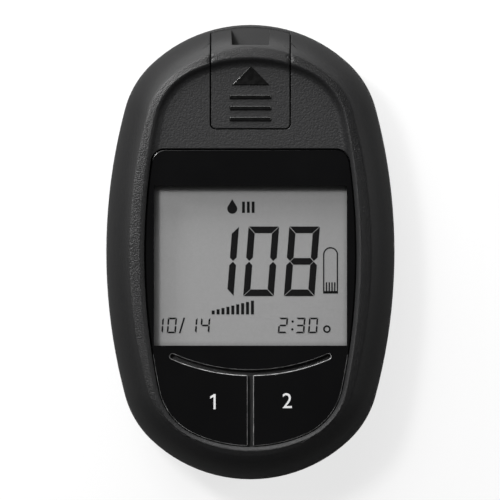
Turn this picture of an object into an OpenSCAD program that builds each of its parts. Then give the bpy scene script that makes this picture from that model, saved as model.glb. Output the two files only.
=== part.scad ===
// Handheld cholesterol meter: a palm-sized case with a test strip port, a liquid crystal
// display, two press keys and two small cells.
// The meter lies on its back. Its rear face is at z = 0 and the display faces +Z. The strip port
// is at the +Y end. The origin is the middle of the rear face.

/* [Case] */
// Length of the case, from the strip port end to the key end
body_length = 93; // [90:1:112]
// Width of the case at its widest
body_width = 59; // [58:1:71]
// Thickness of the case, from the rear face to the crest of the rim
body_height = 23; // [23:0.5:28]
// Radius of the four shoulders of the outline
shoulder_radius = 19.4; // [18:0.2:21]
// How far each end bulges past the shoulders
end_crown = 2.75; // [2:0.05:3.5]
// How far each side bulges past the shoulders
side_crown = 3.2; // [2.4:0.05:4]
// Thickness of the case wall
wall = 2; // [1.7:0.1:2.3]
// Thickness of the rear floor
floor_thick = 1.8; // [1.6:0.1:2.2]
// Height of the line where the two housings meet
parting_height = 10; // [9.5:0.5:11]
// How far the rim curves inwards from the outline to its crest
rim_run = 6; // [5.5:0.25:7]
// How far the rear edge curves inwards from the outline to the rear face
rear_run = 5.5; // [4.5:0.25:6.5]
// Height of the lip that joins the two housings
lip_height = 0.8; // [0.5:0.1:1.2]
// Thickness of that lip
lip_thick = 0.95; // [0.7:0.05:1]

/* [Recessed face] */
// Depth of the face below the crest of the rim
face_depth = 1.6; // [1.2:0.1:2]
// Width of the rim at its sides
side_rim = 7.85; // [7.5:0.05:8.2]
// Width of the rim at the strip port end
top_rim = 7.6; // [7.2:0.1:8]
// Width of the rim at the key end
bottom_rim = 6.8; // [6.6:0.1:7.6]
// Radius of the shoulders of the recess
recess_shoulder = 13; // [11:0.5:14.5]
// How far each end of the recess bulges past its shoulders
recess_end_crown = 1.3; // [1:0.1:2]
// How far each side of the recess bulges past its shoulders
recess_side_crown = 2.55; // [2:0.05:3.2]
// Thickness of the face
deck_thick = 1.8; // [1.5:0.1:2]

// Width of the soft slope from the crest of the rim down to the face
rim_slope = 1; // [1:0.1:1.8]

/* [Face panel and keys] */
// Thickness of the glossy panel and of the keys
panel_thick = 1.5; // [1.3:0.1:1.8]
// Drop from the recessed face to the panel
panel_step = 0.2; // [0.1:0.05:0.4]
// Gap between the panel or a key and the housing
panel_gap = 0.2; // [0.15:0.05:0.3]
// Top edge of the panel, measured from the middle of the case
panel_edge = 21.1; // [20:0.1:22]
// Radius of the panel's two top corners
panel_corner = 3; // [2:0.5:4]
// Depth of the support below the panel
seat_thick = 1.3; // [1:0.1:1.5]
// Width of the curved slot above the keys
slot_width = 1; // [0.7:0.1:1.3]
// How far that slot sags in its middle
slot_sag = 3.3; // [2.5:0.1:4]
// Distance from the display's viewing area down to the ends of that slot
slot_drop = 2.2; // [2:0.1:2.6]
// Width of the neck that carries each key
neck_width = 3.5; // [2.4:0.1:4]
// Width of the straight slot between the keys
key_split = 1.08; // [0.8:0.02:1.4]
// Cut between a neck and the panel, which stands in for the bending web
neck_cut = 0.2; // [0.15:0.05:0.3]
// Room below the keys, so that they can sink
key_room = 1; // [0.9:0.1:1.2]
// Distance from the middle of the case to the middle of each key's press point
press_x = 7.5; // [6.5:0.5:9]
// Distance from the necks down to the press points
press_drop = 9.2; // [8:0.2:11]
// Radius of the nib below each key
nib_radius = 1.25; // [1:0.05:1.5]
// Gap between a nib and its switch
nib_gap = 0.1; // [0.08:0.01:0.15]

/* [Display] */
// Width of the viewing area
view_width = 39.3; // [36:0.1:39.6]
// Height of the viewing area
view_height = 32.6; // [29:0.1:32.8]
// Middle of the viewing area, measured from the middle of the case
view_middle = -2.75; // [-3.2:0.05:-2.4]
// Thickness of the clear lens
lens_thick = 1; // [0.8:0.1:1.1]
// How far the lens reaches past the viewing area at its two ends
lens_lap = 0.9; // [0.7:0.1:1.1]
// How far the lens reaches past the viewing area at its sides
lens_side_lap = 0.2; // [0.1:0.05:0.25]
// Thickness of each of the two glass sheets of the display cell
glass_thick = 1.1; // [0.7:0.1:1.2]
// How far the front glass reaches past the viewing area, on every side
glass_border = 1.9; // [1.6:0.1:2.1]
// Height from the board to the rear glass
glass_rise = 1.2; // [1.1:0.1:1.6]
// Width of each rubber contact strip
strip_contact_width = 1.6; // [1.2:0.1:1.8]
// Wall of the frame around the display cell
frame_wall = 0.9; // [0.7:0.1:1]

/* [Circuit board] */
// Thickness of the board
board_thick = 1.2; // [1:0.1:1.6]
// Distance from the outline of the case in to the edge of the board
board_inset = 3.2; // [3:0.1:3.6]
// Side of each key switch
switch_side = 4.5; // [4:0.1:5]
// Height of each key switch
switch_height = 2.1; // [1.8:0.1:2.2]
// Radius of the plunger of each key switch
plunger_radius = 1; // [0.8:0.05:1.2]
// Running clearance around a plunger
plunger_clearance = 0.05; // [0.03:0.01:0.08]
// Side of the processor chip
chip_side = 10; // [8:0.5:12]

/* [Strip port] */
// Width of the sliding cover
cover_width = 16; // [15:0.5:17]
// Length of the cover, from the end of the case
cover_length = 21.3; // [20.5:0.1:22]
// Radius of the cover's two inner corners
cover_corner = 0.95; // [0.6:0.05:1.4]
// Gap around the cover
cover_gap = 0.25; // [0.2:0.05:0.35]
// Width of the notch that a test strip enters
notch_width = 8.1; // [7.8:0.1:8.4]
// Length of the notch, from the end of the case
notch_length = 4.3; // [4.2:0.1:5]
// Height of the strip ledge above the board
ledge_rise = 1.5; // [1.3:0.1:1.6]
// Height of the slot for the strip
strip_slot = 1.1; // [0.9:0.1:1.3]
// Height of the arrow and the grip bars above the cover
grip_height = 0.35; // [0.2:0.05:0.5]
// Width of the arrow
arrow_width = 7.8; // [6:0.1:8.5]
// Length of the arrow
arrow_length = 4; // [3:0.1:4.5]
// Distance from the end of the case to the tip of the arrow
arrow_drop = 8.5; // [8.2:0.1:9]
// Length of each grip bar
bar_length = 8.5; // [7:0.1:10]
// Width of each grip bar
bar_width = 0.9; // [0.6:0.1:1.1]
// Distance from one grip bar to the next
bar_pitch = 2.25; // [2:0.05:2.4]
// Number of contact leaves
leaf_count = 6; // [4:1:6]
// Distance from one contact leaf to the next
leaf_pitch = 1.1; // [1:0.1:1.2]

/* [Batteries] */
// Diameter of one cell
cell_diameter = 10.5; // [10.5:0.1:11]
// Length of one cell with its nub
cell_length = 44.5; // [44:0.1:45]
// Gap between the two cells
cell_gap = 0.4; // [0.3:0.1:0.8]
// Free length of a spring when a cell presses it
spring_room = 4.6; // [4.2:0.1:5]
// Radius of the spring wire
wire_radius = 0.3; // [0.25:0.05:0.35]
// Wall of the battery bay
bay_wall = 1.2; // [1:0.1:1.4]
// Inside of the battery bay at its upper end, measured from the middle of the case
bay_top = 17.5; // [16.5:0.5:18]

/* [Battery door] */
// Thickness of the door
door_thick = 1.5; // [1.3:0.1:1.6]
// How far the door lies below the rear face
door_sink = 0.15; // [0.1:0.05:0.2]
// Gap around the door
door_gap = 0.2; // [0.15:0.05:0.3]
// How far the door reaches past the bay's walls
door_lap = 0.6; // [0.5:0.1:0.9]
// Width of the latch
latch_width = 8; // [6:0.5:10]
// Length of the latch
latch_length = 4.3; // [4:0.1:4.6]

/* [Screws] */
// Radius of the bosses that join the housings
boss_radius = 2.9; // [2.7:0.1:3]
// Radius of the screw threads
screw_radius = 1.15; // [1:0.05:1.3]
// Radius of the screw heads
head_radius = 2.1; // [1.9:0.1:2.2]
// Height of the screw heads
head_height = 1.3; // [1.1:0.1:1.5]
// Height of the seat under the screw heads
seat_height = 5.5; // [5:0.1:6.5]
// Clearance around a thread or a head
screw_clearance = 0.05; // [0.03:0.01:0.08]
// Radius of the board screws' threads
board_screw_radius = 0.85; // [0.75:0.05:0.95]

/* [Hidden] */
$fn = 72;
// The large arcs of the outline need more sides to look round
arc_fn = 240;
// Overlap that makes a cut run clear of a face
eps = 0.5;

// Heights, counted down from the crest of the rim
face_z = body_height - face_depth;
face_under = face_z - deck_thick;
panel_z = face_z - panel_step;
seat_z = panel_z - panel_thick;
seat_under = seat_z - seat_thick;
key_seat_z = seat_z - key_room;
key_seat_under = seat_under - key_room;
glass_top = seat_under - 0.2;
glass_mid = glass_top - glass_thick;
glass_under = glass_mid - glass_thick;
board_z = glass_under - glass_rise;
board_under = board_z - board_thick;
ledge_z = board_z + ledge_rise;
front_rise = body_height - parting_height;

// The two ovals: half length, half width, shoulder radius, end crown, side crown, middle
case_oval = [body_length / 2, body_width / 2, shoulder_radius, end_crown, side_crown, 0];
recess_oval = [(body_length - top_rim - bottom_rim) / 2, body_width / 2 - side_rim,
    recess_shoulder, recess_end_crown, recess_side_crown, (bottom_rim - top_rim) / 2];
// Depth of the rim's flat crest, far enough in to meet the recess
crest_inset = max(side_rim, top_rim, bottom_rim) + 0.8;

// An oval's shoulder centre, and the radii of its end and side arcs
function shoulder_x(o) = o[1] - o[2] - o[4];
function shoulder_y(o) = o[0] - o[2] - o[3];
function end_radius(o) =
    (pow(shoulder_x(o), 2) + pow(o[2] + o[3], 2) - pow(o[2], 2)) / (2 * o[3]);
function side_radius(o) =
    (pow(shoulder_y(o), 2) + pow(o[2] + o[4], 2) - pow(o[2], 2)) / (2 * o[4]);
function end_centre(o) = o[0] - end_radius(o);
function side_centre(o) = o[1] - side_radius(o);
// Half the angle of the end arc, and half the angle of the side arc
function end_angle(o) = atan2(shoulder_x(o), shoulder_y(o) - end_centre(o));
function side_angle(o) = atan2(shoulder_y(o), shoulder_x(o) - side_centre(o));
// Half the oval's width at a height y on its side arc
function half_width_at(o, y) =
    side_centre(o) + sqrt(pow(side_radius(o), 2) - pow(y - o[5], 2));

// Distance in from the outline to the rim's outer and inner faces, at a height z
function rim_face(z) = rim_run * (1 - sqrt(1 - pow((z - parting_height) / front_rise, 2)));
function rim_inside(z) = rim_run - (rim_run - wall)
    * sqrt(1 - pow((z - parting_height) / (front_rise - wall), 2));

// Wall of the tub that the panel and the keys sit in
tub_wall = 1.2;
lens_size = [view_width + 2 * lens_side_lap, view_height + 2 * lens_lap];

// Keys and slots
view_bottom = view_middle - view_height / 2;
neck_y = view_bottom - slot_drop;
slot_end_x = half_width_at(recess_oval, neck_y) - panel_gap - neck_width - slot_width / 2;
slot_radius = (pow(slot_end_x, 2) + pow(slot_sag, 2)) / (2 * slot_sag);
slot_centre_y = neck_y - slot_sag + slot_radius;
press_y = neck_y - press_drop;
// Where the support steps down from the display to the keys
step_y = view_middle - view_height / 2 - glass_border - frame_wall - 0.45;

// Switches
switch_top = board_z + switch_height;
plunger_top = switch_top + 0.85;
nib_end = plunger_top + nib_gap;

// Strip port
case_end = body_length / 2;
cover_low = case_end - cover_length;
notch_low = case_end - notch_length;
base_low = cover_low + 0.25;
base_wall = 0.8;
rail_low = base_low + base_wall;
rail_high = notch_low - 1.6;
rail_inner = notch_width / 2 + 0.15;
rail_outer = rail_inner + 1.4;
rail_head = rail_outer + 1;
head_low = ledge_z + 1.5;
head_high = face_under - 0.3;
lip_low = ledge_z + 0.15;
lip_high = head_low - 0.2;
lip_inner = rail_outer + 0.2;
contact_roof = ledge_z + strip_slot + 0.2;
leaf_thick = 0.25;
leaf_width = 0.6;

// Battery bay
bay_half = cell_diameter + cell_gap / 2 + 0.3;
contact_thick = 0.4;
bay_bottom = bay_top - cell_length - spring_room - 2 * contact_thick;
cell_x = (cell_diameter + cell_gap) / 2;
door_top = door_sink + door_thick;
bay_floor = door_top + 0.1;
cell_z = door_top + 0.15 + cell_diameter / 2;
bay_roof = cell_z + cell_diameter / 2 + 0.1;
bay_roof_top = bay_roof + 1;
upper_plate_y = bay_top - contact_thick;
lower_plate_y = bay_bottom + contact_thick;
spring_big = cell_diameter / 2 - 1.5;
spring_small = spring_big - 1.5;
tail_width = 2.4;
tail_top = board_z + 0.5;

// Battery door
door_half = bay_half + bay_wall + door_lap;
door_low = bay_bottom - bay_wall - 0.5;
door_high = bay_top + bay_wall + 0.5;
tongue_x = 7;
tongue_width = 4;
tongue_length = 1.7;
tongue_root = 0.5;
tongue_low = 1.25;
tongue_high = 1.85;
pocket_low = 1.1;
pocket_high = 2.9;
pocket_end = door_low - tongue_length - 0.5;
surround = 1.9;
surround_top = 3.2;
latch_y = door_high + latch_length;
latch_top = surround_top + 2;
latch_room = 0.5;

// Screws, as pairs of places on one side of the case
upper_screw = [shoulder_x(case_oval) + 7.6, shoulder_y(case_oval) + 7.65];
lower_screw = [shoulder_x(case_oval) + 9.6, -shoulder_y(case_oval) - 5.65];
upper_board_screw = [upper_screw[0] + 5, upper_screw[1] - 7.5];
lower_board_screw = [lower_screw[0] + 3.5, lower_screw[1] + 4.5];
boss_joint = parting_height + 0.3;
pilot_radius = screw_radius + screw_clearance;
board_pilot_radius = board_screw_radius + screw_clearance;
board_boss_radius = 2.3;
board_screw_end = board_z + 2.8;

// The label on the rear
label_size = [20, 8.5];
label_y = case_end - 15;
label_thick = 0.2;
label_sink = 0.25;

case_grey = [0.16, 0.16, 0.165];
panel_black = [0.03, 0.03, 0.032];
metal = [0.75, 0.75, 0.76];

// Points of an oval, anticlockwise, moved in from its outline by inset. Every inset has the
// same number of points, so that outlines at two heights can be joined point by point.
side_steps = 8;
shoulder_steps = 6;
end_steps = 14;
function arc(centre, radius, from, to, steps) =
    [for (i = [0 : steps - 1]) let (a = from + (to - from) * i / steps)
        centre + radius * [cos(a), sin(a)]];
function oval_points(o, inset = 0) =
    let (ea = end_angle(o), sa = side_angle(o), cx = shoulder_x(o), cy = shoulder_y(o),
        r = o[2] - inset, re = end_radius(o) - inset, rs = side_radius(o) - inset,
        middle = [0, o[5]])
    concat(
        arc([side_centre(o), 0] + middle, rs, -sa, sa, side_steps),
        arc([cx, cy] + middle, r, sa, 90 - ea, shoulder_steps),
        arc([0, end_centre(o)] + middle, re, 90 - ea, 90 + ea, end_steps),
        arc([-cx, cy] + middle, r, 90 + ea, 180 - sa, shoulder_steps),
        arc([-side_centre(o), 0] + middle, rs, 180 - sa, 180 + sa, side_steps),
        arc([-cx, -cy] + middle, r, 180 + sa, 270 - ea, shoulder_steps),
        arc([0, -end_centre(o)] + middle, re, 270 - ea, 270 + ea, end_steps),
        arc([cx, -cy] + middle, r, 270 + ea, 360 - sa, shoulder_steps));

module oval(o, inset = 0) {
    polygon(oval_points(o, inset));
}

module oval_prism(o, inset, low, high) {
    translate([0, 0, low])
        linear_extrude(high - low)
            oval(o, inset);
}

// Joins the outlines of a section's points into a closed solid. Each point of the section is
// [distance in from the outline, height]. A ring's section is a loop, and a filled one's runs
// from its lowest outline to its highest.
module around(o, section, filled = false) {
    count = side_steps * 2 + shoulder_steps * 4 + end_steps * 2;
    rows = len(section);
    points = [for (p = section) for (q = oval_points(o, p[0])) [q[0], q[1], p[1]]];
    last = filled ? rows - 2 : rows - 1;
    walls = [for (i = [0 : last]) for (k = [0 : count - 1])
        let (a = i * count + k, b = i * count + (k + 1) % count,
            c = ((i + 1) % rows) * count + k, d = ((i + 1) % rows) * count + (k + 1) % count)
        each [[a, c, d], [a, d, b]]];
    caps = filled ? [[for (k = [0 : count - 1]) k],
        [for (k = [count - 1 : -1 : 0]) (rows - 1) * count + k]] : [];
    polyhedron(points, concat(walls, caps));
}

// A quarter of an ellipse, as section points from the outline (t = 0) to the crest (t = 90)
function quarter(run, base, rise, from, to, steps) =
    [for (i = [0 : steps]) let (t = from + (to - from) * i / steps)
        [run * (1 - cos(t)), base + rise * sin(t)]];
function moved_in(section, by) = [for (p = section) [p[0] + by, p[1]]];

rim_steps = 7;
inside_steps = 3;
// Angle above the parting line at which the inner face of a wall starts to curve
inside_start = 15;

// Section of the front wall: an elliptic rim with a flat crest, and a rebate for the lip
rebate_top = parting_height + lip_height + 0.1;
front_section = concat(
    quarter(rim_run, parting_height, front_rise, 0, 90, rim_steps),
    [[crest_inset, body_height], [crest_inset, body_height - wall]],
    moved_in(quarter(rim_run - wall, parting_height, front_rise - wall,
        90, inside_start, inside_steps), wall),
    [[wall, rebate_top], [wall - lip_thick, rebate_top], [wall - lip_thick, parting_height]]);

// The same wall, filled up to the middle
front_filled = concat(
    quarter(rim_run, parting_height, front_rise, 0, 90, rim_steps),
    [[crest_inset, body_height]]);

// Section of the rear wall, with its lip
lip_top = parting_height + lip_height;
lip_face = wall - lip_thick + 0.05;
rear_section = concat(
    [[crest_inset, 0]],
    quarter(rear_run, parting_height, -parting_height, 90, 0, rim_steps),
    [[lip_face, parting_height], [lip_face, lip_top], [wall, lip_top]],
    moved_in(quarter(rear_run - wall, parting_height, floor_thick - parting_height,
        inside_start, 90, inside_steps), wall),
    [[crest_inset, floor_thick]]);

module front_solid() {
    around(case_oval, front_filled, filled = true);
}

// The hollow above the face, as wide as the recess at the face and wider at the crest
slope_section = concat(
    [for (p = quarter(rim_slope, face_z, body_height - face_z, 0, 90, 4)) [-p[0], p[1]]],
    [[-rim_slope, body_height + eps]]);

// Rim and face together, before anything is cut for the panel, the keys or the port
module front_skin() {
    difference() {
        union() {
            around(case_oval, front_section);
            oval_prism(case_oval, rim_inside(face_under) - 0.2, face_under, face_z);
        }
        around(recess_oval, slope_section, filled = true);
    }
}

// Outline of the sliding cover, grown by a gap
module cover_outline(gap) {
    w = cover_width / 2 + gap;
    r = cover_corner + gap;
    low = cover_low - gap;
    difference() {
        translate([-w, low])
            square([2 * w, cover_length + gap + eps]);
        for (s = [-1, 1])
            translate([s * (w - r), low + r])
                difference() {
                    translate([s > 0 ? 0 : -r - eps, -r - eps])
                        square(r + eps);
                    circle(r = r);
                }
    }
}

module at_upper_screws(z) {
    for (s = [-1, 1])
        translate([s * upper_screw[0], upper_screw[1], z])
            children();
}

module at_lower_screws(z) {
    for (s = [-1, 1])
        translate([s * lower_screw[0], lower_screw[1], z])
            children();
}

module at_board_screws(z) {
    for (p = [upper_board_screw, lower_board_screw])
        for (s = [-1, 1])
            translate([s * p[0], p[1], z])
                children();
}

// Outline inside which the panel and the keys lie, moved in by inset. Its two top corners run
// on smoothly from the sides of the recess.
module panel_outline(inset) {
    r = panel_corner - inset;
    top = panel_edge - inset;
    side = side_radius(recess_oval) - inset;
    corner_y = top - r - recess_oval[5];
    corner_x = side_centre(recess_oval) + sqrt(pow(side - r, 2) - pow(corner_y, 2));
    touch_y = recess_oval[5] + side * corner_y / (side - r);
    intersection() {
        oval(recess_oval, inset);
        union() {
            translate([-body_width, -body_length])
                square([2 * body_width, body_length + touch_y]);
            translate([-corner_x, touch_y - r])
                square([2 * corner_x, top - touch_y + r]);
            for (s = [-1, 1])
                translate([s * corner_x, top - r])
                    circle(r = r);
        }
    }
}

// The curved slot above the keys, with round ends
module key_slot() {
    intersection() {
        translate([0, slot_centre_y])
            difference() {
                circle(r = slot_radius + slot_width / 2, $fn = arc_fn);
                circle(r = slot_radius - slot_width / 2, $fn = arc_fn);
            }
        translate([0, slot_centre_y])
            polygon([[0, 0], 2 * [-slot_end_x, neck_y - slot_centre_y],
                2 * [slot_end_x, neck_y - slot_centre_y]]);
    }
    for (s = [-1, 1])
        translate([s * slot_end_x, neck_y])
            circle(r = slot_width / 2);
}

module front_housing() {
    color(case_grey)
    difference() {
        union() {
            front_skin();
            // Tub below the panel, and a deeper one below the keys
            difference() {
                oval_prism(recess_oval, -tub_wall, key_seat_under, face_under + 0.1);
                translate([-body_width, step_y, 0])
                    cube([2 * body_width, body_length, seat_under]);
                translate([-body_width, panel_edge + 1.5, 0])
                    cube([2 * body_width, body_length, body_height]);
            }
            at_upper_screws(boss_joint)
                cylinder(r = boss_radius, h = face_under + 0.5 - boss_joint);
            at_lower_screws(boss_joint)
                cylinder(r = boss_radius, h = face_under + 0.5 - boss_joint);
            for (s = [-1, 1]) {
                translate([s * upper_board_screw[0], upper_board_screw[1], board_z])
                    cylinder(r = board_boss_radius, h = face_under + 0.3 - board_z);
                translate([s * lower_board_screw[0], lower_board_screw[1], board_z])
                    cylinder(r = board_boss_radius, h = face_under + 0.3 - board_z);
            }
        }
        // Pocket for the panel, and a deeper one below the keys
        translate([0, 0, seat_z])
            linear_extrude(body_height)
                panel_outline(0);
        intersection() {
            oval_prism(recess_oval, 0, key_seat_z, body_height);
            translate([-body_width, -body_length, 0])
                cube([2 * body_width, body_length + step_y, 2 * body_height]);
        }
        intersection() {
            oval_prism(recess_oval, 0, seat_z - key_room / 2, body_height);
            translate([-body_width, -body_length, 0])
                cube([2 * body_width, body_length + neck_y + 0.3, 2 * body_height]);
        }
        // Window for the display
        translate([-view_width / 2 - 0.5, view_bottom - 0.5, seat_under - eps])
            cube([view_width + 1, view_height + 1, body_height]);
        // Holes for the nibs
        for (s = [-1, 1])
            translate([s * press_x, press_y, key_seat_under - eps])
                cylinder(r = nib_radius + 0.9, h = body_height);
        // Pilot holes for the screws
        at_upper_screws(boss_joint - eps)
            cylinder(r = pilot_radius, h = 7);
        at_lower_screws(boss_joint - eps)
            cylinder(r = pilot_radius, h = 6);
        at_board_screws(board_z - eps)
            cylinder(r = board_pilot_radius, h = board_screw_end + 0.3 + eps - board_z);
        // Opening for the strip port
        translate([0, 0, board_z])
            linear_extrude(body_height)
                cover_outline(cover_gap);
    }
}

module rear_housing() {
    outer = [bay_half + bay_wall, bay_wall];
    latch_half = latch_width / 2 + latch_room;
    color(case_grey)
    difference() {
        union() {
            around(case_oval, rear_section);
            oval_prism(case_oval, crest_inset - 0.1, 0, floor_thick);
            // Surround that carries the bay and frames the door
            translate([-door_half - surround, door_low - surround - 1, floor_thick - 0.3])
                cube([2 * (door_half + surround),
                    latch_y + surround - door_low + surround + 1,
                    surround_top - floor_thick + 0.3]);
            // Walls and roof of the bay
            translate([-outer[0], bay_bottom - bay_wall, bay_floor])
                cube([2 * outer[0], bay_top - bay_bottom + 2 * bay_wall,
                    bay_roof_top - bay_floor]);
            // Box over the latch, which closes the case above it
            translate([-latch_half - 1, door_high - 0.8, floor_thick - 0.3])
                cube([2 * latch_half + 2, latch_length + 0.4 + 1.8,
                    latch_top + latch_room + 1 - floor_thick + 0.3]);
            at_upper_screws(0)
                cylinder(r = boss_radius, h = boss_joint);
            at_lower_screws(0)
                cylinder(r = boss_radius, h = boss_joint);
        }
        // Inside of the bay
        translate([-bay_half, bay_bottom, -eps])
            cube([2 * bay_half, bay_top - bay_bottom, bay_roof + eps]);
        // Recess for the door
        translate([-door_half - door_gap, door_low - door_gap, -eps])
            cube([2 * (door_half + door_gap), door_high - door_low + 2 * door_gap,
                bay_floor + eps]);
        // Room for the latch
        translate([-latch_half, door_high, -eps])
            cube([2 * latch_half, latch_length + 0.4, latch_top + latch_room + eps]);
        // Pockets for the tongues
        for (s = [-1, 1])
            translate([s * tongue_x - tongue_width / 2 - 0.3, pocket_end, pocket_low])
                cube([tongue_width + 0.6, bay_bottom - 0.3 - pocket_end,
                    pocket_high - pocket_low]);
        // Slots through which the contact tails reach the board
        for (s = [-1, 1])
            translate([s * cell_x - tail_width / 2 - 0.2, bay_top - contact_thick - 0.2,
                bay_roof - eps])
                cube([tail_width + 0.4, contact_thick + 0.2, 3]);
        // Screw holes with their head seats
        at_upper_screws(-eps) {
            cylinder(r = head_radius + 0.3, h = seat_height + eps);
            cylinder(r = screw_radius + 0.25, h = body_height);
        }
        at_lower_screws(-eps) {
            cylinder(r = head_radius + 0.3, h = seat_height + eps);
            cylinder(r = screw_radius + 0.25, h = body_height);
        }
        // Shallow place for the label
        translate([-label_size[0] / 2 - 0.1, label_y - label_size[1] / 2 - 0.1, -eps])
            cube([label_size[0] + 0.2, label_size[1] + 0.2, label_sink + eps]);
    }
}

module face_panel() {
    hole = [view_width, view_height];
    rebate = [lens_size[0] + 0.1, lens_size[1] + 0.2];
    color(panel_black)
    difference() {
        translate([0, 0, seat_z])
            linear_extrude(panel_thick)
                difference() {
                    intersection() {
                        panel_outline(panel_gap);
                        union() {
                            translate([0, slot_centre_y])
                                circle(r = slot_radius - slot_width / 2, $fn = arc_fn);
                            translate([-body_width, neck_y + neck_cut / 2])
                                square([2 * body_width, body_length]);
                        }
                    }
                    key_slot();
                }
        translate([-hole[0] / 2, view_middle - hole[1] / 2, seat_z - eps])
            cube([hole[0], hole[1], panel_thick + 2 * eps]);
        translate([-rebate[0] / 2, view_middle - rebate[1] / 2, seat_z - eps])
            cube([rebate[0], rebate[1], lens_thick + 0.02 + eps]);
    }
}

module display_lens() {
    color([0.75, 0.8, 0.82, 0.4])
    translate([-lens_size[0] / 2, view_middle - lens_size[1] / 2, seat_z])
        cube([lens_size[0], lens_size[1], lens_thick]);
}

// One key: a flap with a neck at its outer upper corner and a nib below. side is -1 or 1.
module key(side) {
    color(panel_black) {
        translate([0, 0, seat_z])
            linear_extrude(panel_thick)
                difference() {
                    intersection() {
                        oval(recess_oval, panel_gap);
                        translate([side > 0 ? key_split / 2 : -body_width - key_split / 2,
                            -body_length])
                            square([body_width, body_length + neck_y - neck_cut / 2]);
                    }
                    translate([0, slot_centre_y])
                        circle(r = slot_radius + slot_width / 2, $fn = arc_fn);
                    translate([side * slot_end_x, neck_y])
                        circle(r = slot_width / 2);
                }
        translate([side * press_x, press_y, nib_end])
            cylinder(r = nib_radius, h = seat_z + 0.3 - nib_end);
    }
}

module memory_key() {
    key(-1);
}

module set_key() {
    key(1);
}

module strip_port_cover() {
    half = cover_width / 2;
    tip_y = case_end - arrow_drop;
    first_bar = tip_y - arrow_length - 1.95 - bar_width / 2;
    color(case_grey)
    difference() {
        union() {
            intersection() {
                front_skin();
                translate([0, 0, lip_low])
                    linear_extrude(body_height)
                        cover_outline(0);
            }
            // Side walls with lips that hook under the rails
            intersection() {
                front_solid();
                for (s = [-1, 1]) {
                    translate([s > 0 ? rail_head + 0.2 : -half, rail_low + 0.2, lip_low])
                        cube([half - rail_head - 0.2, cover_length, face_under + 0.2 - lip_low]);
                    translate([s > 0 ? lip_inner : -half, rail_low + 0.2, lip_low])
                        cube([half - lip_inner, cover_length, lip_high - lip_low]);
                    translate([s > 0 ? notch_width / 2 : -half, rail_high + 0.8, lip_low])
                        cube([half - notch_width / 2, notch_length + 2, body_height]);
                }
            }
            // Wall behind the notch, above the strip slot
            intersection() {
                front_solid();
                translate([-half + 0.5, rail_high + 0.4, ledge_z + strip_slot])
                    cube([cover_width - 1, notch_low - rail_high - 0.4, body_height]);
            }
            // Arrow and grip bars
            translate([0, 0, face_z - 0.2])
                linear_extrude(0.2 + grip_height) {
                    polygon([[0, tip_y], [-arrow_width / 2, tip_y - arrow_length],
                        [arrow_width / 2, tip_y - arrow_length]]);
                    for (i = [0 : 2])
                        translate([-bar_length / 2, first_bar - bar_width / 2 - i * bar_pitch])
                            square([bar_length, bar_width]);
                }
        }
        oval_prism(recess_oval, 0, face_z + grip_height, body_height + eps);
        // Notch, cut clear past the end of the case
        translate([-notch_width / 2, notch_low, 0])
            cube([notch_width, notch_length + eps, 2 * body_height]);
    }
}

module strip_port_base() {
    half = cover_width / 2;
    rail_run = rail_high - base_low;
    color([0.1, 0.1, 0.105])
    difference() {
        union() {
            // Ledge that a strip lies on
            intersection() {
                oval_prism(case_oval, rim_face(ledge_z) + 0.02, board_z, ledge_z);
                translate([-half, base_low, 0])
                    cube([cover_width, cover_length, body_height]);
            }
            // Rear wall
            translate([-half, base_low, board_z])
                cube([cover_width, base_wall, head_high - board_z]);
            // Rails, each with a head that the cover's lips hook under
            for (s = [-1, 1]) {
                translate([s > 0 ? rail_inner : -rail_outer, base_low, board_z])
                    cube([rail_outer - rail_inner, rail_run, head_high - board_z]);
                translate([s > 0 ? rail_inner : -rail_head, base_low, head_low])
                    cube([rail_head - rail_inner, rail_run, head_high - head_low]);
            }
            // Roof over the contacts
            translate([-rail_outer, base_low, contact_roof])
                cube([2 * rail_outer, 8, head_high - contact_roof]);
        }
        // Way through for the contact leaves
        translate([-leaf_count * leaf_pitch / 2 - 0.2, base_low - eps, ledge_z + 0.4])
            cube([leaf_count * leaf_pitch + 0.4, base_wall + 2 * eps,
                contact_roof - ledge_z - 0.4]);
    }
}

// Bent leaves that press on a strip, each with a tail on the board
module strip_contacts() {
    back = base_low - 0.45;
    top = contact_roof - 0.15;
    touch = ledge_z + 0.3;
    outline = [[back, board_z], [back + leaf_thick, board_z],
        [back + leaf_thick, top - leaf_thick], [base_low + 3, top - leaf_thick],
        [base_low + 6, touch - leaf_thick / 2], [base_low + 7.4, touch + 0.4],
        [base_low + 7.3, touch + 0.65], [base_low + 6, touch + leaf_thick / 2],
        [base_low + 3, top], [back, top]];
    color([0.85, 0.7, 0.35])
    for (i = [0 : leaf_count - 1])
        translate([(i - (leaf_count - 1) / 2) * leaf_pitch - leaf_width / 2, 0, 0])
            rotate([90, 0, 90])
                linear_extrude(leaf_width)
                    polygon(outline);
}

module circuit_board() {
    color([0.1, 0.35, 0.2])
    difference() {
        oval_prism(case_oval, board_inset, board_under, board_z);
        at_upper_screws(board_under - eps)
            cylinder(r = boss_radius + 0.3, h = board_thick + 2 * eps);
        at_lower_screws(board_under - eps)
            cylinder(r = boss_radius + 0.3, h = board_thick + 2 * eps);
        at_board_screws(board_under - eps)
            cylinder(r = board_screw_radius + 0.15, h = board_thick + 2 * eps);
        for (s = [-1, 1])
            translate([s * cell_x - tail_width / 2 - 0.15, upper_plate_y - 0.15,
                board_under - eps])
                cube([tail_width + 0.3, contact_thick + 0.3, board_thick + 2 * eps]);
    }
}

front_glass = [view_width + 2 * glass_border, view_height + 2 * glass_border];
rear_glass = [front_glass[0], view_height + 0.6];
strip_y = (rear_glass[1] + front_glass[1]) / 4;

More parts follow.
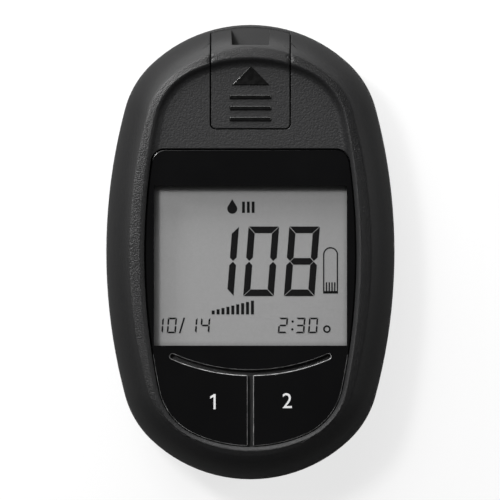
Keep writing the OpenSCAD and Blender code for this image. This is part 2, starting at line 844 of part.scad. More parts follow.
module display_frame() {
    inner = [front_glass[0] + 0.2, front_glass[1] + 0.2];
    outer = [inner[0] + 2 * frame_wall, inner[1] + 2 * frame_wall];
    color([0.85, 0.85, 0.83])
    translate([0, view_middle, 0])
        difference() {
            translate([-outer[0] / 2, -outer[1] / 2, board_z])
                cube([outer[0], outer[1], glass_top - board_z]);
            translate([-inner[0] / 2, -inner[1] / 2, glass_under])
                cube([inner[0], inner[1], body_height]);
            // The space below the display, which ends short of the contact strips
            translate([-view_width / 2, -strip_y + strip_contact_width / 2 + 0.6, 0])
                cube([view_width, 2 * strip_y - strip_contact_width - 1.2, body_height]);
            // Slots for the contact strips
            for (s = [-1, 1])
                translate([-view_width / 2 - 0.1,
                    s * strip_y - strip_contact_width / 2 - 0.1, 0])
                    cube([view_width + 0.2, strip_contact_width + 0.2, body_height]);
        }
}

module display_glass() {
    color([0.6, 0.61, 0.6])
    translate([0, view_middle, 0]) {
        translate([-front_glass[0] / 2, -front_glass[1] / 2, glass_mid])
            cube([front_glass[0], front_glass[1], glass_thick]);
        translate([-rear_glass[0] / 2, -rear_glass[1] / 2, glass_under])
            cube([rear_glass[0], rear_glass[1], glass_thick]);
    }
}

module contact_strip(side) {
    color([0.9, 0.55, 0.6])
    translate([-view_width / 2, view_middle + side * strip_y - strip_contact_width / 2, board_z])
        cube([view_width, strip_contact_width, glass_mid - board_z]);
}

module contact_strip_upper() {
    contact_strip(1);
}

module contact_strip_lower() {
    contact_strip(-1);
}

module key_switch(side) {
    color([0.2, 0.2, 0.21])
    translate([side * press_x, press_y, board_z])
        difference() {
            translate([-switch_side / 2, -switch_side / 2, 0])
                cube([switch_side, switch_side, switch_height]);
            translate([0, 0, switch_height - 1.4])
                cylinder(r = plunger_radius + plunger_clearance, h = switch_height);
        }
}

module memory_switch() {
    key_switch(-1);
}

module set_switch() {
    key_switch(1);
}

module plunger(side) {
    color([0.8, 0.25, 0.15])
    translate([side * press_x, press_y, switch_top - 0.9])
        cylinder(r = plunger_radius, h = plunger_top - switch_top + 0.9);
}

module memory_plunger() {
    plunger(-1);
}

module set_plunger() {
    plunger(1);
}

module processor_chip() {
    h = glass_rise - 0.1;
    color([0.07, 0.07, 0.08])
    translate([-chip_side / 2, view_middle - chip_side / 2, board_z])
        cube([chip_side, chip_side, h]);
}

module memory_chip() {
    color([0.07, 0.07, 0.08])
    translate([9, panel_edge - 1.8, board_z])
        cube([5, 4, 1.5]);
}

module clock_crystal() {
    color(metal)
    translate([-14, panel_edge, board_z + 1])
        rotate([0, 90, 0])
            cylinder(r = 1, h = 6);
}

module buzzer() {
    h = 3.6;
    color([0.08, 0.08, 0.08])
    translate([door_half + surround + 4.6, 2, board_under - h])
        difference() {
            cylinder(r = 4.3, h = h);
            translate([0, 0, -eps])
                cylinder(r = 0.9, h = 1 + eps);
        }
}

// A screw that points up, with its head below z = 0 and a cross recess
module screw(thread, length, head_r, head_h) {
    difference() {
        union() {
            translate([0, 0, -head_h])
                cylinder(r = head_r, h = head_h);
            cylinder(r = thread, h = length);
        }
        for (turn = [0, 90])
            rotate([0, 0, turn])
                translate([-0.6 * head_r, -0.12 * head_r, -head_h - eps])
                    cube([1.2 * head_r, 0.24 * head_r, 0.5 * head_h + eps]);
    }
}

module housing_screws() {
    color(metal) {
        at_upper_screws(seat_height)
            screw(screw_radius, boss_joint + 6 - seat_height, head_radius, head_height);
        at_lower_screws(seat_height)
            screw(screw_radius, boss_joint + 5 - seat_height, head_radius, head_height);
    }
}

module board_screws() {
    color(metal)
    at_board_screws(board_under)
        screw(board_screw_radius, board_screw_end - board_under, 1.6, 0.9);
}

module battery_door() {
    leg = 0.8;
    rise = latch_top;
    arm_y = door_high + 0.2;
    hook_y = latch_y - 1.6;
    color(case_grey) {
        translate([-door_half, door_low, door_sink])
            cube([2 * door_half, door_high - door_low, door_thick]);
        // Tongues at the lower end
        for (s = [-1, 1])
            translate([s * tongue_x - tongue_width / 2, door_low - tongue_length, tongue_low])
                cube([tongue_width, tongue_length + tongue_root, tongue_high - tongue_low]);
        // Springy latch at the upper end: up, over and down to a thumb pad
        translate([-latch_width / 2, 0, 0])
            rotate([90, 0, 90])
                linear_extrude(latch_width)
                    polygon([[door_high - 0.5, door_sink], [arm_y + leg, door_sink],
                        [arm_y + leg, rise - leg], [hook_y, rise - leg],
                        [hook_y, door_sink], [latch_y, door_sink],
                        [latch_y, door_sink + 1.1], [hook_y + leg, door_sink + 1.1],
                        [hook_y + leg, rise], [arm_y, rise], [arm_y, door_top],
                        [door_high - 0.5, door_top]]);
    }
}

// A cell whose nub points up (+Y) or down
module cell(x, nub_y, up) {
    can = cell_length - 0.9;
    color([0.35, 0.37, 0.4])
    translate([x, nub_y, cell_z])
        rotate([up ? 90 : -90, 0, 0]) {
            translate([0, 0, 0.9])
                cylinder(r = cell_diameter / 2, h = can);
            cylinder(r = 1.9, h = 1);
        }
}

module battery_left() {
    cell(-cell_x, upper_plate_y, true);
}

module battery_right() {
    cell(cell_x, lower_plate_y, false);
}

// A square plate against an end wall of the bay, with a tail that reaches the board
module contact_plate(x) {
    side = cell_diameter - 2;
    translate([x - side / 2, upper_plate_y, cell_z - side / 2])
        cube([side, contact_thick, side]);
    translate([x - tail_width / 2, upper_plate_y, cell_z])
        cube([tail_width, contact_thick, tail_top - cell_z]);
}

module positive_contact() {
    color(metal)
    contact_plate(-cell_x);
}

module negative_contact() {
    color(metal)
    contact_plate(cell_x);
}

module bridge_contact() {
    side = cell_diameter - 2;
    color(metal)
    translate([-cell_x - side / 2, bay_bottom, cell_z - side / 2])
        cube([2 * cell_x + side, contact_thick, side]);
}

// A conical spring of one wire, from its large end at z = 0 to its small end
module coil_spring(height) {
    turns = 3.5;
    steps = 14;
    sides = 6;
    count = turns * steps;
    rise = height - 2 * wire_radius - 0.1;
    function ring_point(k, j) =
        let (t = k / count, a = 360 * turns * t, b = 360 * j / sides,
            r = spring_big + (spring_small - spring_big) * t + wire_radius * cos(b))
        [r * cos(a), r * sin(a), wire_radius + 0.05 + rise * t + wire_radius * sin(b)];
    points = [for (k = [0 : count]) for (j = [0 : sides - 1]) ring_point(k, j)];
    walls = [for (k = [0 : count - 1]) for (j = [0 : sides - 1])
        let (a = k * sides + j, b = k * sides + (j + 1) % sides)
        each [[a, a + sides, b + sides], [a, b + sides, b]]];
    first = [[for (j = [0 : sides - 1]) j]];
    last = [[for (j = [sides - 1 : -1 : 0]) count * sides + j]];
    pitch = norm([(spring_big - spring_small) / turns, rise / turns]);
    echo(least_gap_between_spring_turns = pitch - 2 * wire_radius);
    color(metal)
    polyhedron(concat(points), concat(walls, first, last));
}

module negative_spring() {
    translate([cell_x, upper_plate_y, cell_z])
        rotate([90, 0, 0])
            coil_spring(spring_room);
}

module bridge_spring() {
    translate([-cell_x, lower_plate_y, cell_z])
        rotate([-90, 0, 0])
            coil_spring(spring_room);
}

module rear_label() {
    color([0.8, 0.8, 0.78])
    translate([-label_size[0] / 2, label_y - label_size[1] / 2, label_sink - label_thick])
        cube([label_size[0], label_size[1], label_thick]);
}

front_housing();
rear_housing();
face_panel();
display_lens();
memory_key();
set_key();
strip_port_cover();
strip_port_base();
strip_contacts();
circuit_board();
display_frame();
display_glass();
contact_strip_upper();
contact_strip_lower();
memory_switch();
set_switch();
memory_plunger();
set_plunger();
processor_chip();
memory_chip();
clock_crystal();
buzzer();
board_screws();
housing_screws();
battery_door();
battery_left();
battery_right();
positive_contact();
negative_contact();
negative_spring();
bridge_contact();
bridge_spring();
rear_label();
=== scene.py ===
# %% [markdown]
# # A handheld cholesterol meter
# The meter is a palm-sized case of dark grey plastic with a soft raised rim round a recessed
# face. A small cover slides off the test strip port, a glossy black sheet frames a liquid
# crystal display, and two keys are cut out of that sheet. The CAD model gives every size and
# joint. Here each visible piece is modelled again with rounder edges and finer curves, and the
# pieces inside the case keep their CAD shape.

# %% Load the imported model
import bpy
import math
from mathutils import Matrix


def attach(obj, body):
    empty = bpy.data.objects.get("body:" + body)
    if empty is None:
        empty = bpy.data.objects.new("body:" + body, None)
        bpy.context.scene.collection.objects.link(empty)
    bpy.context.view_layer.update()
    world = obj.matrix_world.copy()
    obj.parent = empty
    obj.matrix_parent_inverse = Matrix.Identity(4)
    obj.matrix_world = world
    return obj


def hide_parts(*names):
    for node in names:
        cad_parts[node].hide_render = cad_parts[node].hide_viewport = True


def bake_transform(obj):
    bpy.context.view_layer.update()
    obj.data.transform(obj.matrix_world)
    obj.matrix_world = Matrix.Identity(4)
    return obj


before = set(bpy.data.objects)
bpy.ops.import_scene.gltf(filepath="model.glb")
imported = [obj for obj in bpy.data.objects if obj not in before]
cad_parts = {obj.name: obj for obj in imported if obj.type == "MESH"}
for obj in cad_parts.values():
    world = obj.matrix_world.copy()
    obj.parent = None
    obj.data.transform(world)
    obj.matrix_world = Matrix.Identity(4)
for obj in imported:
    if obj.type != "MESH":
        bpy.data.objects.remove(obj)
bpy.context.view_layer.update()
MM = 0.001

# %% [markdown]
# ## Sizes
# These are the sizes of the CAD part, in millimetres, that the looks need again. Heights are
# counted from the flat rear face.

# %% Sizes that the pieces share
CREST, FACE, PANEL_TOP, PANEL_LOW = 23.0, 21.4, 21.2, 19.7
PARTING, WALL = 10.0, 2.0
PANEL_GAP = 0.2
RIM_RUN, REAR_RUN = 6.0, 5.5    # how far each housing's side curves in
VIEW = (-19.65, -19.05, 19.65, 13.55)
NECK_Y, SLOT_END, SLOT_RADIUS, SLOT_MIDDLE, SLOT_HALF = -21.25, 15.852, 39.724, 15.174, 0.5
KEY_SPLIT = 1.08
COVER_HALF, COVER_LOW, COVER_CORNER, COVER_GAP = 8.0, 25.2, 0.95, 0.25
NOTCH_HALF, NOTCH_LOW = 4.05, 42.2
DOOR = (-12.8, -34.1, 12.8, 19.2)
SCREWS = [(14.5, 32.0), (-14.5, 32.0), (16.5, -30.0), (-16.5, -30.0)]
BOSS_RADIUS = 2.9
NIB_X, NIB_Y = 7.5, -30.45      # the nib under each key, and the figure on it
TONGUE_X, CELL_X, CELL_Z = 7.0, 5.45, 7.05
UNDER, OVER = 15, 26            # ends of the tools that cut through the face
print("panel", PANEL_LOW, "to", PANEL_TOP, "mm; face at", FACE, "mm; crest at", CREST, "mm")

# %% [markdown]
# ## The two ovals
# Seen from above, the case and the recess in it are ovals. Such an outline could be a free
# curve, but a mould maker draws it from arcs, because arcs can be machined and measured. Each
# oval is two flat end arcs, two flat side arcs and four shoulder arcs that run smoothly into
# them. This cell works out their centres and angles.

# %% An oval as nine arcs
def oval_arcs(length, width, shoulder, end_crown, side_crown, middle):
    """The arcs of an oval, anticlockwise from its right-hand point: centre, angle, steps."""
    sx, sy = width / 2 - shoulder - side_crown, length / 2 - shoulder - end_crown
    end_r = (sx ** 2 + (shoulder + end_crown) ** 2 - shoulder ** 2) / (2 * end_crown)
    side_r = (sy ** 2 + (shoulder + side_crown) ** 2 - shoulder ** 2) / (2 * side_crown)
    end_c, side_c = length / 2 - end_r, width / 2 - side_r
    end_a, side_a = math.atan2(sx, sy - end_c), math.atan2(sy, sx - side_c)
    turn = math.pi / 2 - end_a - side_a
    arcs = [((side_c, 0), side_a, 10), ((sx, sy), turn, 12), ((0, end_c), 2 * end_a, 24),
            ((-sx, sy), turn, 12), ((-side_c, 0), 2 * side_a, 20), ((-sx, -sy), turn, 12),
            ((0, -end_c), 2 * end_a, 24), ((sx, -sy), turn, 12), ((side_c, 0), side_a, 10)]
    return {"arcs": [((x, y + middle), a, n) for (x, y), a, n in arcs],
            "width": width, "middle": middle, "side_r": side_r, "end_r": end_r}


CASE_OVAL = oval_arcs(93, 59, 19.4, 2.75, 3.2, 0)
RECESS_OVAL = oval_arcs(78.6, 43.3, 13, 1.3, 2.55, -0.4)
print("end radii", round(CASE_OVAL["end_r"], 2), "and", round(RECESS_OVAL["end_r"], 2), "mm")

# %% [markdown]
# ## Working in edit mode
# Every new piece starts as a Blender primitive and is shaped in edit mode. The smallest start
# is a plane merged into one point. That point can be extruded along a line or spun round a
# centre, so it can draw any outline of lines and arcs.

# %% Tools for drawing
SAME = 0.002    # points closer than this, in mm, count as one


def rest():
    """Leaves edit mode and deselects everything, the CAD nodes too."""
    if bpy.context.object and bpy.context.object.mode != "OBJECT":
        bpy.ops.object.mode_set(mode="OBJECT")
    bpy.ops.object.select_all(action="DESELECT")


def pick(piece):
    """Makes a piece the only selected one, and the active one."""
    rest()
    piece.select_set(True)
    bpy.context.view_layer.objects.active = piece


def edit():
    bpy.ops.object.mode_set(mode="EDIT")


def select_whole():
    bpy.ops.mesh.select_all(action="SELECT")


def start_point(name, x, y, z):
    """A new piece with one selected point, in edit mode."""
    rest()
    bpy.ops.mesh.primitive_plane_add(size=MM)
    bpy.context.object.name = name
    edit()
    bpy.ops.mesh.select_mode(type="VERT")
    select_whole()
    bpy.ops.mesh.merge(type="CENTER")
    bpy.ops.transform.translate(value=(x * MM, y * MM, z * MM))
    return bpy.context.object


def draw_line(dx, dy, dz=0.0):
    """Extrudes the selected point by a step."""
    bpy.ops.mesh.extrude_vertices_move(
        TRANSFORM_OT_translate={"value": (dx * MM, dy * MM, dz * MM)})


def spin_round(centre, angle, steps):
    """Spins what is selected anticlockwise about an upright axis."""
    bpy.ops.mesh.spin(steps=steps, angle=-angle, axis=(0, 0, 1),
                      center=(centre[0] * MM, centre[1] * MM, 0))


def tidy_mesh():
    """Merges points that coincide and turns every face outwards."""
    select_whole()
    bpy.ops.mesh.remove_doubles(threshold=SAME * MM)
    bpy.ops.mesh.normals_make_consistent(inside=False)


print("tools ready")

# %% [markdown]
# ## Sweeping a section round an oval
# The rim of the case has the same section all the way round. The section is drawn once at the
# right-hand side and spun about each arc's centre in turn, so it stays square to the outline
# everywhere.

# %% Sweep and plate
def sweep(name, oval, section):
    """Carries a section of (distance in from the outline, height) round an oval."""
    x = oval["width"] / 2
    piece = start_point(name, x - section[0][0], oval["middle"], section[0][1])
    for (a, low), (b, high) in zip(section, section[1:]):
        draw_line(a - b, 0, high - low)
    select_whole()
    for centre, angle, steps in oval["arcs"]:
        spin_round(centre, angle, steps)
    tidy_mesh()
    return piece


def select_edges(test):
    """Selects the edges whose both ends pass a test of x, y, z in mm."""
    piece = bpy.context.object
    bpy.ops.mesh.select_all(action="DESELECT")
    bpy.ops.mesh.select_mode(type="EDGE")
    bpy.ops.object.mode_set(mode="OBJECT")
    good = [test(*(v.co / MM)) for v in piece.data.vertices]
    for edge in piece.data.edges:
        edge.select = all(good[i] for i in edge.vertices)
    edit()


def close_ends(*heights):
    """Fills the open loops at these heights, which turns a swept skin into a solid."""
    for height in heights:
        select_edges(lambda x, y, z: abs(z - height) < SAME)
        bpy.ops.mesh.edge_face_add()
    tidy_mesh()
    rest()


def select_faces(test):
    """Selects the faces whose middle, in mm, and normal pass a test."""
    piece = bpy.context.object
    bpy.ops.mesh.select_all(action="DESELECT")
    bpy.ops.mesh.select_mode(type="FACE")
    bpy.ops.object.mode_set(mode="OBJECT")
    for face in piece.data.polygons:
        face.select = bool(test(face.center / MM, face.normal))
    edit()


def raise_outline(height, along=(0, 0, 1)):
    """Fills a closed flat outline, raises it into a plate and gives the plate back."""
    select_whole()
    bpy.ops.mesh.remove_doubles(threshold=SAME * MM)
    bpy.ops.mesh.edge_face_add()
    bpy.ops.mesh.extrude_region_move(
        TRANSFORM_OT_translate={"value": [height * MM * a for a in along]})
    select_whole()
    bpy.ops.mesh.normals_make_consistent(inside=False)
    rest()
    return bpy.context.object


def oval_plate(name, oval, inset, low, high):
    """A plate with the outline of an oval, moved in by inset."""
    start_point(name, oval["width"] / 2 - inset, oval["middle"], low)
    for centre, angle, steps in oval["arcs"]:
        spin_round(centre, angle, steps)
    return raise_outline(high - low)


def flat_shape(name, points, low, high):
    """A plate with straight sides through the given points."""
    start_point(name, *points[0], low)
    for (a, b), (c, d) in zip(points, points[1:]):
        draw_line(c - a, d - b)
    return raise_outline(high - low)


def placed(name):
    """Names a new primitive and moves its place and scale into its mesh."""
    bpy.ops.object.transform_apply(location=True, rotation=False, scale=True)
    bpy.context.object.name = name
    return bpy.context.object


def block(name, low, high):
    """A box between two corners, to cut with or to build on."""
    rest()
    middle = [(a + b) / 2 * MM for a, b in zip(low, high)]
    bpy.ops.mesh.primitive_cube_add(size=1, location=middle)
    bpy.context.object.scale = [(b - a) * MM for a, b in zip(low, high)]
    return placed(name)


def carve(piece, *boxes):
    """Cuts boxes out of a piece; each is a name and two corners."""
    for name, low, high in boxes:
        cut(piece, block(name, low, high))


def post(name, x, y, radius, low, high, sides=48):
    """An upright cylinder."""
    rest()
    bpy.ops.mesh.primitive_cylinder_add(
        vertices=sides, radius=radius * MM, depth=(high - low) * MM,
        location=(x * MM, y * MM, (low + high) / 2 * MM))
    return placed(name)


def apply_modifier(piece, kind, **settings):
    """Adds a modifier, sets it and applies it."""
    pick(piece)
    modifier = piece.modifiers.new(kind.lower(), kind)
    for key, value in settings.items():
        setattr(modifier, key, value)
    bpy.ops.object.modifier_apply(modifier=modifier.name)


def cut(piece, tool, operation="DIFFERENCE"):
    """Cuts a piece with a tool, or joins or crosses them, and removes the tool."""
    apply_modifier(piece, "BOOLEAN", operation=operation, object=tool, solver="EXACT")
    bpy.data.objects.remove(tool)


def copy_of(piece, name):
    """A copy of a piece, with a name of its own."""
    pick(piece)
    bpy.ops.object.duplicate()
    twin = bpy.context.object
    twin.name = name
    twin.data.name = name
    return twin


def join(first, *others):
    """Makes other pieces a part of the first."""
    pick(first)
    for other in others:
        other.select_set(True)
    bpy.ops.object.join()
    return first


def round_edges(piece, width, segments=2, degrees=50):
    """Rounds every edge that is sharper than an angle, as a mould or a polish does."""
    apply_modifier(piece, "BEVEL", width=width * MM, segments=segments,
                   limit_method="ANGLE", angle_limit=math.radians(degrees),
                   use_clamp_overlap=False, miter_outer="MITER_ARC")


def smooth(piece, degrees=32):
    """Smooth shading that keeps flat faces flat and corners crisp."""
    pick(piece)
    bpy.ops.object.shade_smooth_by_angle(angle=math.radians(degrees))
    apply_modifier(piece, "WEIGHTED_NORMAL", keep_sharp=True)
    print(piece.name, len(piece.data.polygons), "faces")


def quarter(run, base, rise, degrees):
    """Points of a quarter ellipse, from the outline in to the crest."""
    return [(run * (1 - math.cos(math.radians(t))), base + rise * math.sin(math.radians(t)))
            for t in degrees]


print("sweep and plate tools ready")

# %% [markdown]
# ## Front housing
# The front housing is a moulded shell: an outer wall that curves in to a soft crest, an inner
# slope down to the recessed face, and holes for the panel and the strip port. The wall follows
# the outline of the case and the slope follows the recess, which is a slightly different oval.
# So the two are swept on their own, and a curved bridge between them makes the crest.

# %% Rim and face as one solid
SEAM = [(0.1, 0), (0, 0.12)]    # the small groove where the two housings meet
BRIDGE_RISE = 0.05              # the bridge bulges by about this much above the wall
outer_wall = [(x, PARTING + z) for x, z in SEAM] + quarter(
    RIM_RUN, PARTING, CREST - PARTING - BRIDGE_RISE,
    (5, 11, 18, 26, 34, 42, 50, 57, 64, 70, 75, 79))
inner_slope = [(-0.72, 22.89), (-0.56, 22.83), (-0.40, 22.72), (-0.25, 22.56), (-0.11, 22.37),
               (0.04, 22.16), (0.22, 21.94), (0.42, 21.74), (0.66, 21.58), (0.95, 21.46),
               (1.35, FACE)]
wall_top, slope_top = outer_wall[-1][1], inner_slope[0][1]
front = sweep("front_shell", CASE_OVAL, outer_wall)
join(front, sweep("slope", RECESS_OVAL, inner_slope))
edit()
select_edges(lambda x, y, z: min(abs(z - wall_top), abs(z - slope_top)) < SAME)
bpy.ops.mesh.bridge_edge_loops(number_cuts=4, interpolation="SURFACE", smoothness=0.08)
close_ends(FACE, PARTING)
top = max(v.co.z for v in front.data.vertices) / MM
print("front", len(front.data.polygons), "faces, crest at", round(top, 3), "mm")

# %% [markdown]
# The solid is hollowed from below with a smaller dome. The blank for the cover is a copy of
# the solid, so that the cover and the housing run on into each other.

# %% Hollow, and the blank for the cover
def dome(name, run, low, rise, top):
    """A solid whose side curves in as the wall of a housing does, between two flat ends."""
    last = math.degrees(math.asin(min(1, (top - PARTING) / rise)))
    angles = [t for t in range(10, 90, 8) if t < last] + [last]
    section = [(WALL, low), (WALL, PARTING)]
    section += [(WALL + x, z) for x, z in quarter(run, PARTING, rise, angles)]
    piece = sweep(name, CASE_OVAL, section)
    close_ends(low, section[-1][1])
    return piece


cover = copy_of(front, "port_cover")
cut(front, dome("front_hollow", RIM_RUN - WALL, PARTING - 2, 11.0, 19.6))
print("hollow shell and cover blank", len(front.data.polygons), "faces")

# %% [markdown]
# ## Outlines of the panel and the cover
# The panel fills the recess from side to side. Its two top corners run on smoothly from the
# sides. The same path, moved out by the gap, is the pocket in the housing. With its slots, the
# path is the sheet that the panel and both keys are cut from.

# %% Paths
PANEL_CORNER, PANEL_END = 3.0, 21.1     # radius of its top corners, and where its top ends
COVER_PAST = 48                         # a place beyond the end of the case


def panel_path(name, inset, low, high, slots=False):
    """The outline of the panel and the keys, moved in by inset, raised into a plate."""
    oval = RECESS_OVAL
    (end, end_angle, _), (shoulder, turn, _), (side, side_angle, _) = oval["arcs"][6:]
    end_angle /= 2
    end_r, side_r = oval["end_r"] - inset, oval["side_r"] - inset
    corner, middle = PANEL_CORNER - inset, oval["middle"]
    cy = PANEL_END - inset - corner
    cx = side[0] + math.sqrt((side_r - corner) ** 2 - (cy - middle) ** 2)
    lift = math.atan2(cy - middle, cx - side[0])
    split = KEY_SPLIT / 2 if slots else 0
    skip = math.asin(split / end_r)
    start_y = end[1] - end_r * math.cos(skip)
    start_point(name, split, start_y, low)
    arcs = [(end, end_angle - skip, 12), (shoulder, turn, 12), (side, side_angle + lift, 14),
            ((cx, cy), math.pi / 2 - lift, 12)]
    for arc in arcs:
        spin_round(*arc)
    draw_line(-2 * cx, 0)
    for (x, y), angle, steps in reversed(arcs):
        spin_round((-x, y), angle, steps)
    if slots:
        slot_path(split, start_y)
    return raise_outline(high - low)


def slot_path(split, start_y):
    """Continues the path up the left side of the split, round the curved slot and down."""
    centre = (0, SLOT_MIDDLE)
    low_r, reach = SLOT_RADIUS + SLOT_HALF, math.asin(SLOT_END / SLOT_RADIUS)
    inner = math.asin(split / low_r)
    low_y = SLOT_MIDDLE - low_r * math.cos(inner)
    draw_line(0, low_y - start_y)
    spin_round(centre, inner - reach, 20)
    spin_round((-SLOT_END, NECK_Y), -math.pi, 12)
    spin_round(centre, 2 * reach, 44)
    spin_round((SLOT_END, NECK_Y), -math.pi, 12)
    spin_round(centre, inner - reach, 20)


def cover_path(name, gap, low, high):
    """The outline of the sliding cover, grown by a gap."""
    half, corner, bottom = COVER_HALF + gap, COVER_CORNER + gap, COVER_LOW - gap
    x, y = half - corner, bottom + corner
    start_point(name, -x, bottom, low)
    draw_line(2 * x, 0)
    spin_round((x, y), math.pi / 2, 8)
    draw_line(0, COVER_PAST - y)
    draw_line(-2 * half, 0)
    draw_line(0, y - COVER_PAST)
    spin_round((-x, y), math.pi / 2, 8)
    return raise_outline(high - low)


print("paths ready")

# %% [markdown]
# Below the panel the housing has a tub that carries the panel and the keys, with a window for
# the display and a hole for each key's nib. It is added first, and then the pocket, the window
# and the strip port are cut through both. A thin flange under the gap round the cover makes the
# gap a plain dark line.

# %% Tub, pocket and openings
TUB_LOW, TUB_HIGH = 18.4, 20.3
FLANGE_LOW, FLANGE_HIGH = 18.75, 19.25
WINDOW_GAP, NIB_HOLE = 0.5, 2.15
tub = oval_plate("tub", RECESS_OVAL, -1.2, TUB_LOW, TUB_HIGH)
cut(tub, block("above", (-30, 22.6, UNDER), (30, 50, OVER)))
cut(front, tub, "UNION")
cut(front, panel_path("pocket", 0.0, PANEL_LOW, OVER))
cut(front, block("window", (VIEW[0] - WINDOW_GAP, VIEW[1] - WINDOW_GAP, UNDER),
                 (VIEW[2] + WINDOW_GAP, VIEW[3] + WINDOW_GAP, OVER)))
for x in (-NIB_X, NIB_X):
    cut(front, post("nib_hole", x, NIB_Y, NIB_HOLE, UNDER, OVER))
cut(front, cover_path("port_opening", COVER_GAP, 14.8, OVER))
flange = cover_path("flange", 0.9, FLANGE_LOW, FLANGE_HIGH)
cut(flange, cover_path("flange_inside", 0.03, UNDER, OVER))
cut(flange, oval_plate("inside", CASE_OVAL, 2.4, UNDER, OVER), "INTERSECT")
cut(front, flange, "UNION")
for x, y in SCREWS:
    cut(front, post("boss", x, y, BOSS_RADIUS, 10.3, 20.6), "UNION")
print("front housing", len(front.data.polygons), "faces")

# %% [markdown]
# ## Sliding cover
# The cover is the part of the shell over the strip port. On the real meter it slides off for
# cleaning, so it has side walls with lips that hook under two rails. It is cut from the blank
# with the outline of the cover, hollowed, and notched where the strip goes in.

# %% Cover
ROOF, HOLLOW_END = 19.6, 41.0       # the cover's underside, and where its hollow ends
NOTCH_TAPER, FINE_ROUND = 0.3, 0.1
cut(cover, cover_path("cover_outline", 0, 16.45, OVER), "INTERSECT")
carve(cover, ("cover_hollow", (-6.8, 20, 17.6), (6.8, HOLLOW_END, ROOF)),
      ("lip_gap", (-5.8, 20, UNDER), (5.8, HOLLOW_END, 18.0)),
      ("inner_end", (-9, 20, UNDER), (9, 26.45, ROOF)),
      ("strip_way", (-NOTCH_HALF, 40, UNDER), (NOTCH_HALF, 43, 17.4)))
notch_foot = NOTCH_HALF - NOTCH_TAPER
cut(cover, flat_shape("notch", [(-notch_foot, NOTCH_LOW), (notch_foot, NOTCH_LOW),
                                (NOTCH_HALF, NOTCH_LOW + 6), (-NOTCH_HALF, NOTCH_LOW + 6)],
                      UNDER, OVER))
round_edges(cover, FINE_ROUND)
smooth(cover)

# %% [markdown]
# The raised arrow shows which way the cover slides, and three bars give the thumb a grip. As
# separate glossy pieces they have crisp edges and their own shine, as in the photograph.

# %% Arrow and grip bars
MARK_LOW, MARK_HIGH = 21.2, 21.75   # from just inside the cover to above its face
BAR_HALF, BAR_HALF_WIDTH = 4.25, 0.45
cover_arrow = flat_shape("cover_arrow", [(-3.9, 34.0), (3.9, 34.0), (0, 38.0)],
                         MARK_LOW, MARK_HIGH)
grip_bars = [block(f"grip_bar_{i}", (-BAR_HALF, y - BAR_HALF_WIDTH, MARK_LOW),
                   (BAR_HALF, y + BAR_HALF_WIDTH, MARK_HIGH))
             for i, y in ((1, 31.6), (2, 29.35), (3, 27.1))]
for mark in (cover_arrow, *grip_bars):
    round_edges(mark, 0.2, 4)
    smooth(mark, 40)

# %% [markdown]
# ## Glossy panel and keys
# One sheet of glossy plastic is cut by a curved slot and a straight slot, and hinged at two
# narrow necks. Its rounded edges catch the light. So the whole sheet is drawn and rounded
# first, and only then parted into the panel and the two keys, along cuts that lie inside the
# slots and straight across the necks.

# %% Panel and keys
CUT_X, CUT_Y, PAST = 16.6, -20.9, 45    # where the parting cut leaves the slot, and beyond


def key_region(side):
    """The part of the sheet below the curved slot, on one side."""
    reach = math.asin(CUT_X / SLOT_RADIUS)
    low_y = SLOT_MIDDLE - SLOT_RADIUS * math.cos(reach)
    start_point("region", 0, -PAST, 10)
    draw_line(side * 25, 0)
    draw_line(0, PAST + CUT_Y)
    draw_line(side * (CUT_X - 25), 0)
    draw_line(0, low_y - CUT_Y)
    spin_round((0, SLOT_MIDDLE), -side * reach, 24)
    return raise_outline(20)


sheet = panel_path("face_sheet", PANEL_GAP, PANEL_LOW, PANEL_TOP, slots=True)
round_edges(sheet, 0.26, 4)
left_cap = copy_of(sheet, "memory_key_cap")
right_cap = copy_of(sheet, "set_key_cap")
cut(left_cap, key_region(-1), "INTERSECT")
cut(right_cap, key_region(1), "INTERSECT")
cut(sheet, key_region(-1))
cut(sheet, key_region(1))
sheet.name = "panel_sheet"
carve(sheet, ("view", (*VIEW[:2], UNDER), (*VIEW[2:], OVER)),
      ("lens_rebate", (-19.9, -20.05, UNDER), (19.9, 14.55, 20.72)))
smooth(sheet)

# %% [markdown]
# A mesh can only bend where it has edges, so each key gets a few straight rows of them across
# its neck. Below each key a nib reaches down to its switch.

# %% Rows of edges at the necks, and the nibs
BEND_START, BEND_ROWS, ROW_STEP = -20.8, 8, 0.16
NIB_RADIUS, NIB_LOW = 1.25, 17.85
key_caps = (left_cap, right_cap)
for cap, x in zip(key_caps, (-NIB_X, NIB_X)):
    pick(cap)
    edit()
    for row in range(BEND_ROWS):
        select_whole()
        bpy.ops.mesh.bisect(plane_co=(0, (BEND_START - ROW_STEP * row) * MM, 0),
                            plane_no=(0, 1, 0))
    join(cap, post("nib", x, NIB_Y, NIB_RADIUS, NIB_LOW, PANEL_LOW + 0.2, 32))
    smooth(cap)

# %% [markdown]
# ## Rear housing
# The rear housing is the other half of the shell: a dish with a flat floor, a bay for two
# small cells, a recess for the battery door and four deep holes for the screws. It is swept
# and hollowed as the front was, and its inner walls are joined on before the holes are cut.

# %% Dish and bay
rear_wall = [(x, PARTING - z) for x, z in SEAM] + quarter(
    REAR_RUN, PARTING, -PARTING, (4, 10, 17, 25, 33, 42, 50, 58, 66, 73, 79, 85, 90))
rear = sweep("rear_shell", CASE_OVAL, rear_wall)
close_ends(PARTING, 0.0)
cut(rear, dome("rear_hollow", REAR_RUN - WALL, PARTING + 2, -8.2, 1.82))
for low, high in (((-14.7, -36.9, 1.0), (14.7, 25.4, 3.2)),
                  ((-12.2, -33.6, 1.0), (12.2, 18.7, 13.35)),
                  ((-5.5, 18.4, 1.0), (5.5, 24.9, 6.7))):
    cut(rear, block("bay_walls", low, high), "UNION")
for x, y in SCREWS:
    cut(rear, post("screw_boss", x, y, BOSS_RADIUS, 1.0, 10.2), "UNION")
print("dish", len(rear.data.polygons), "faces")

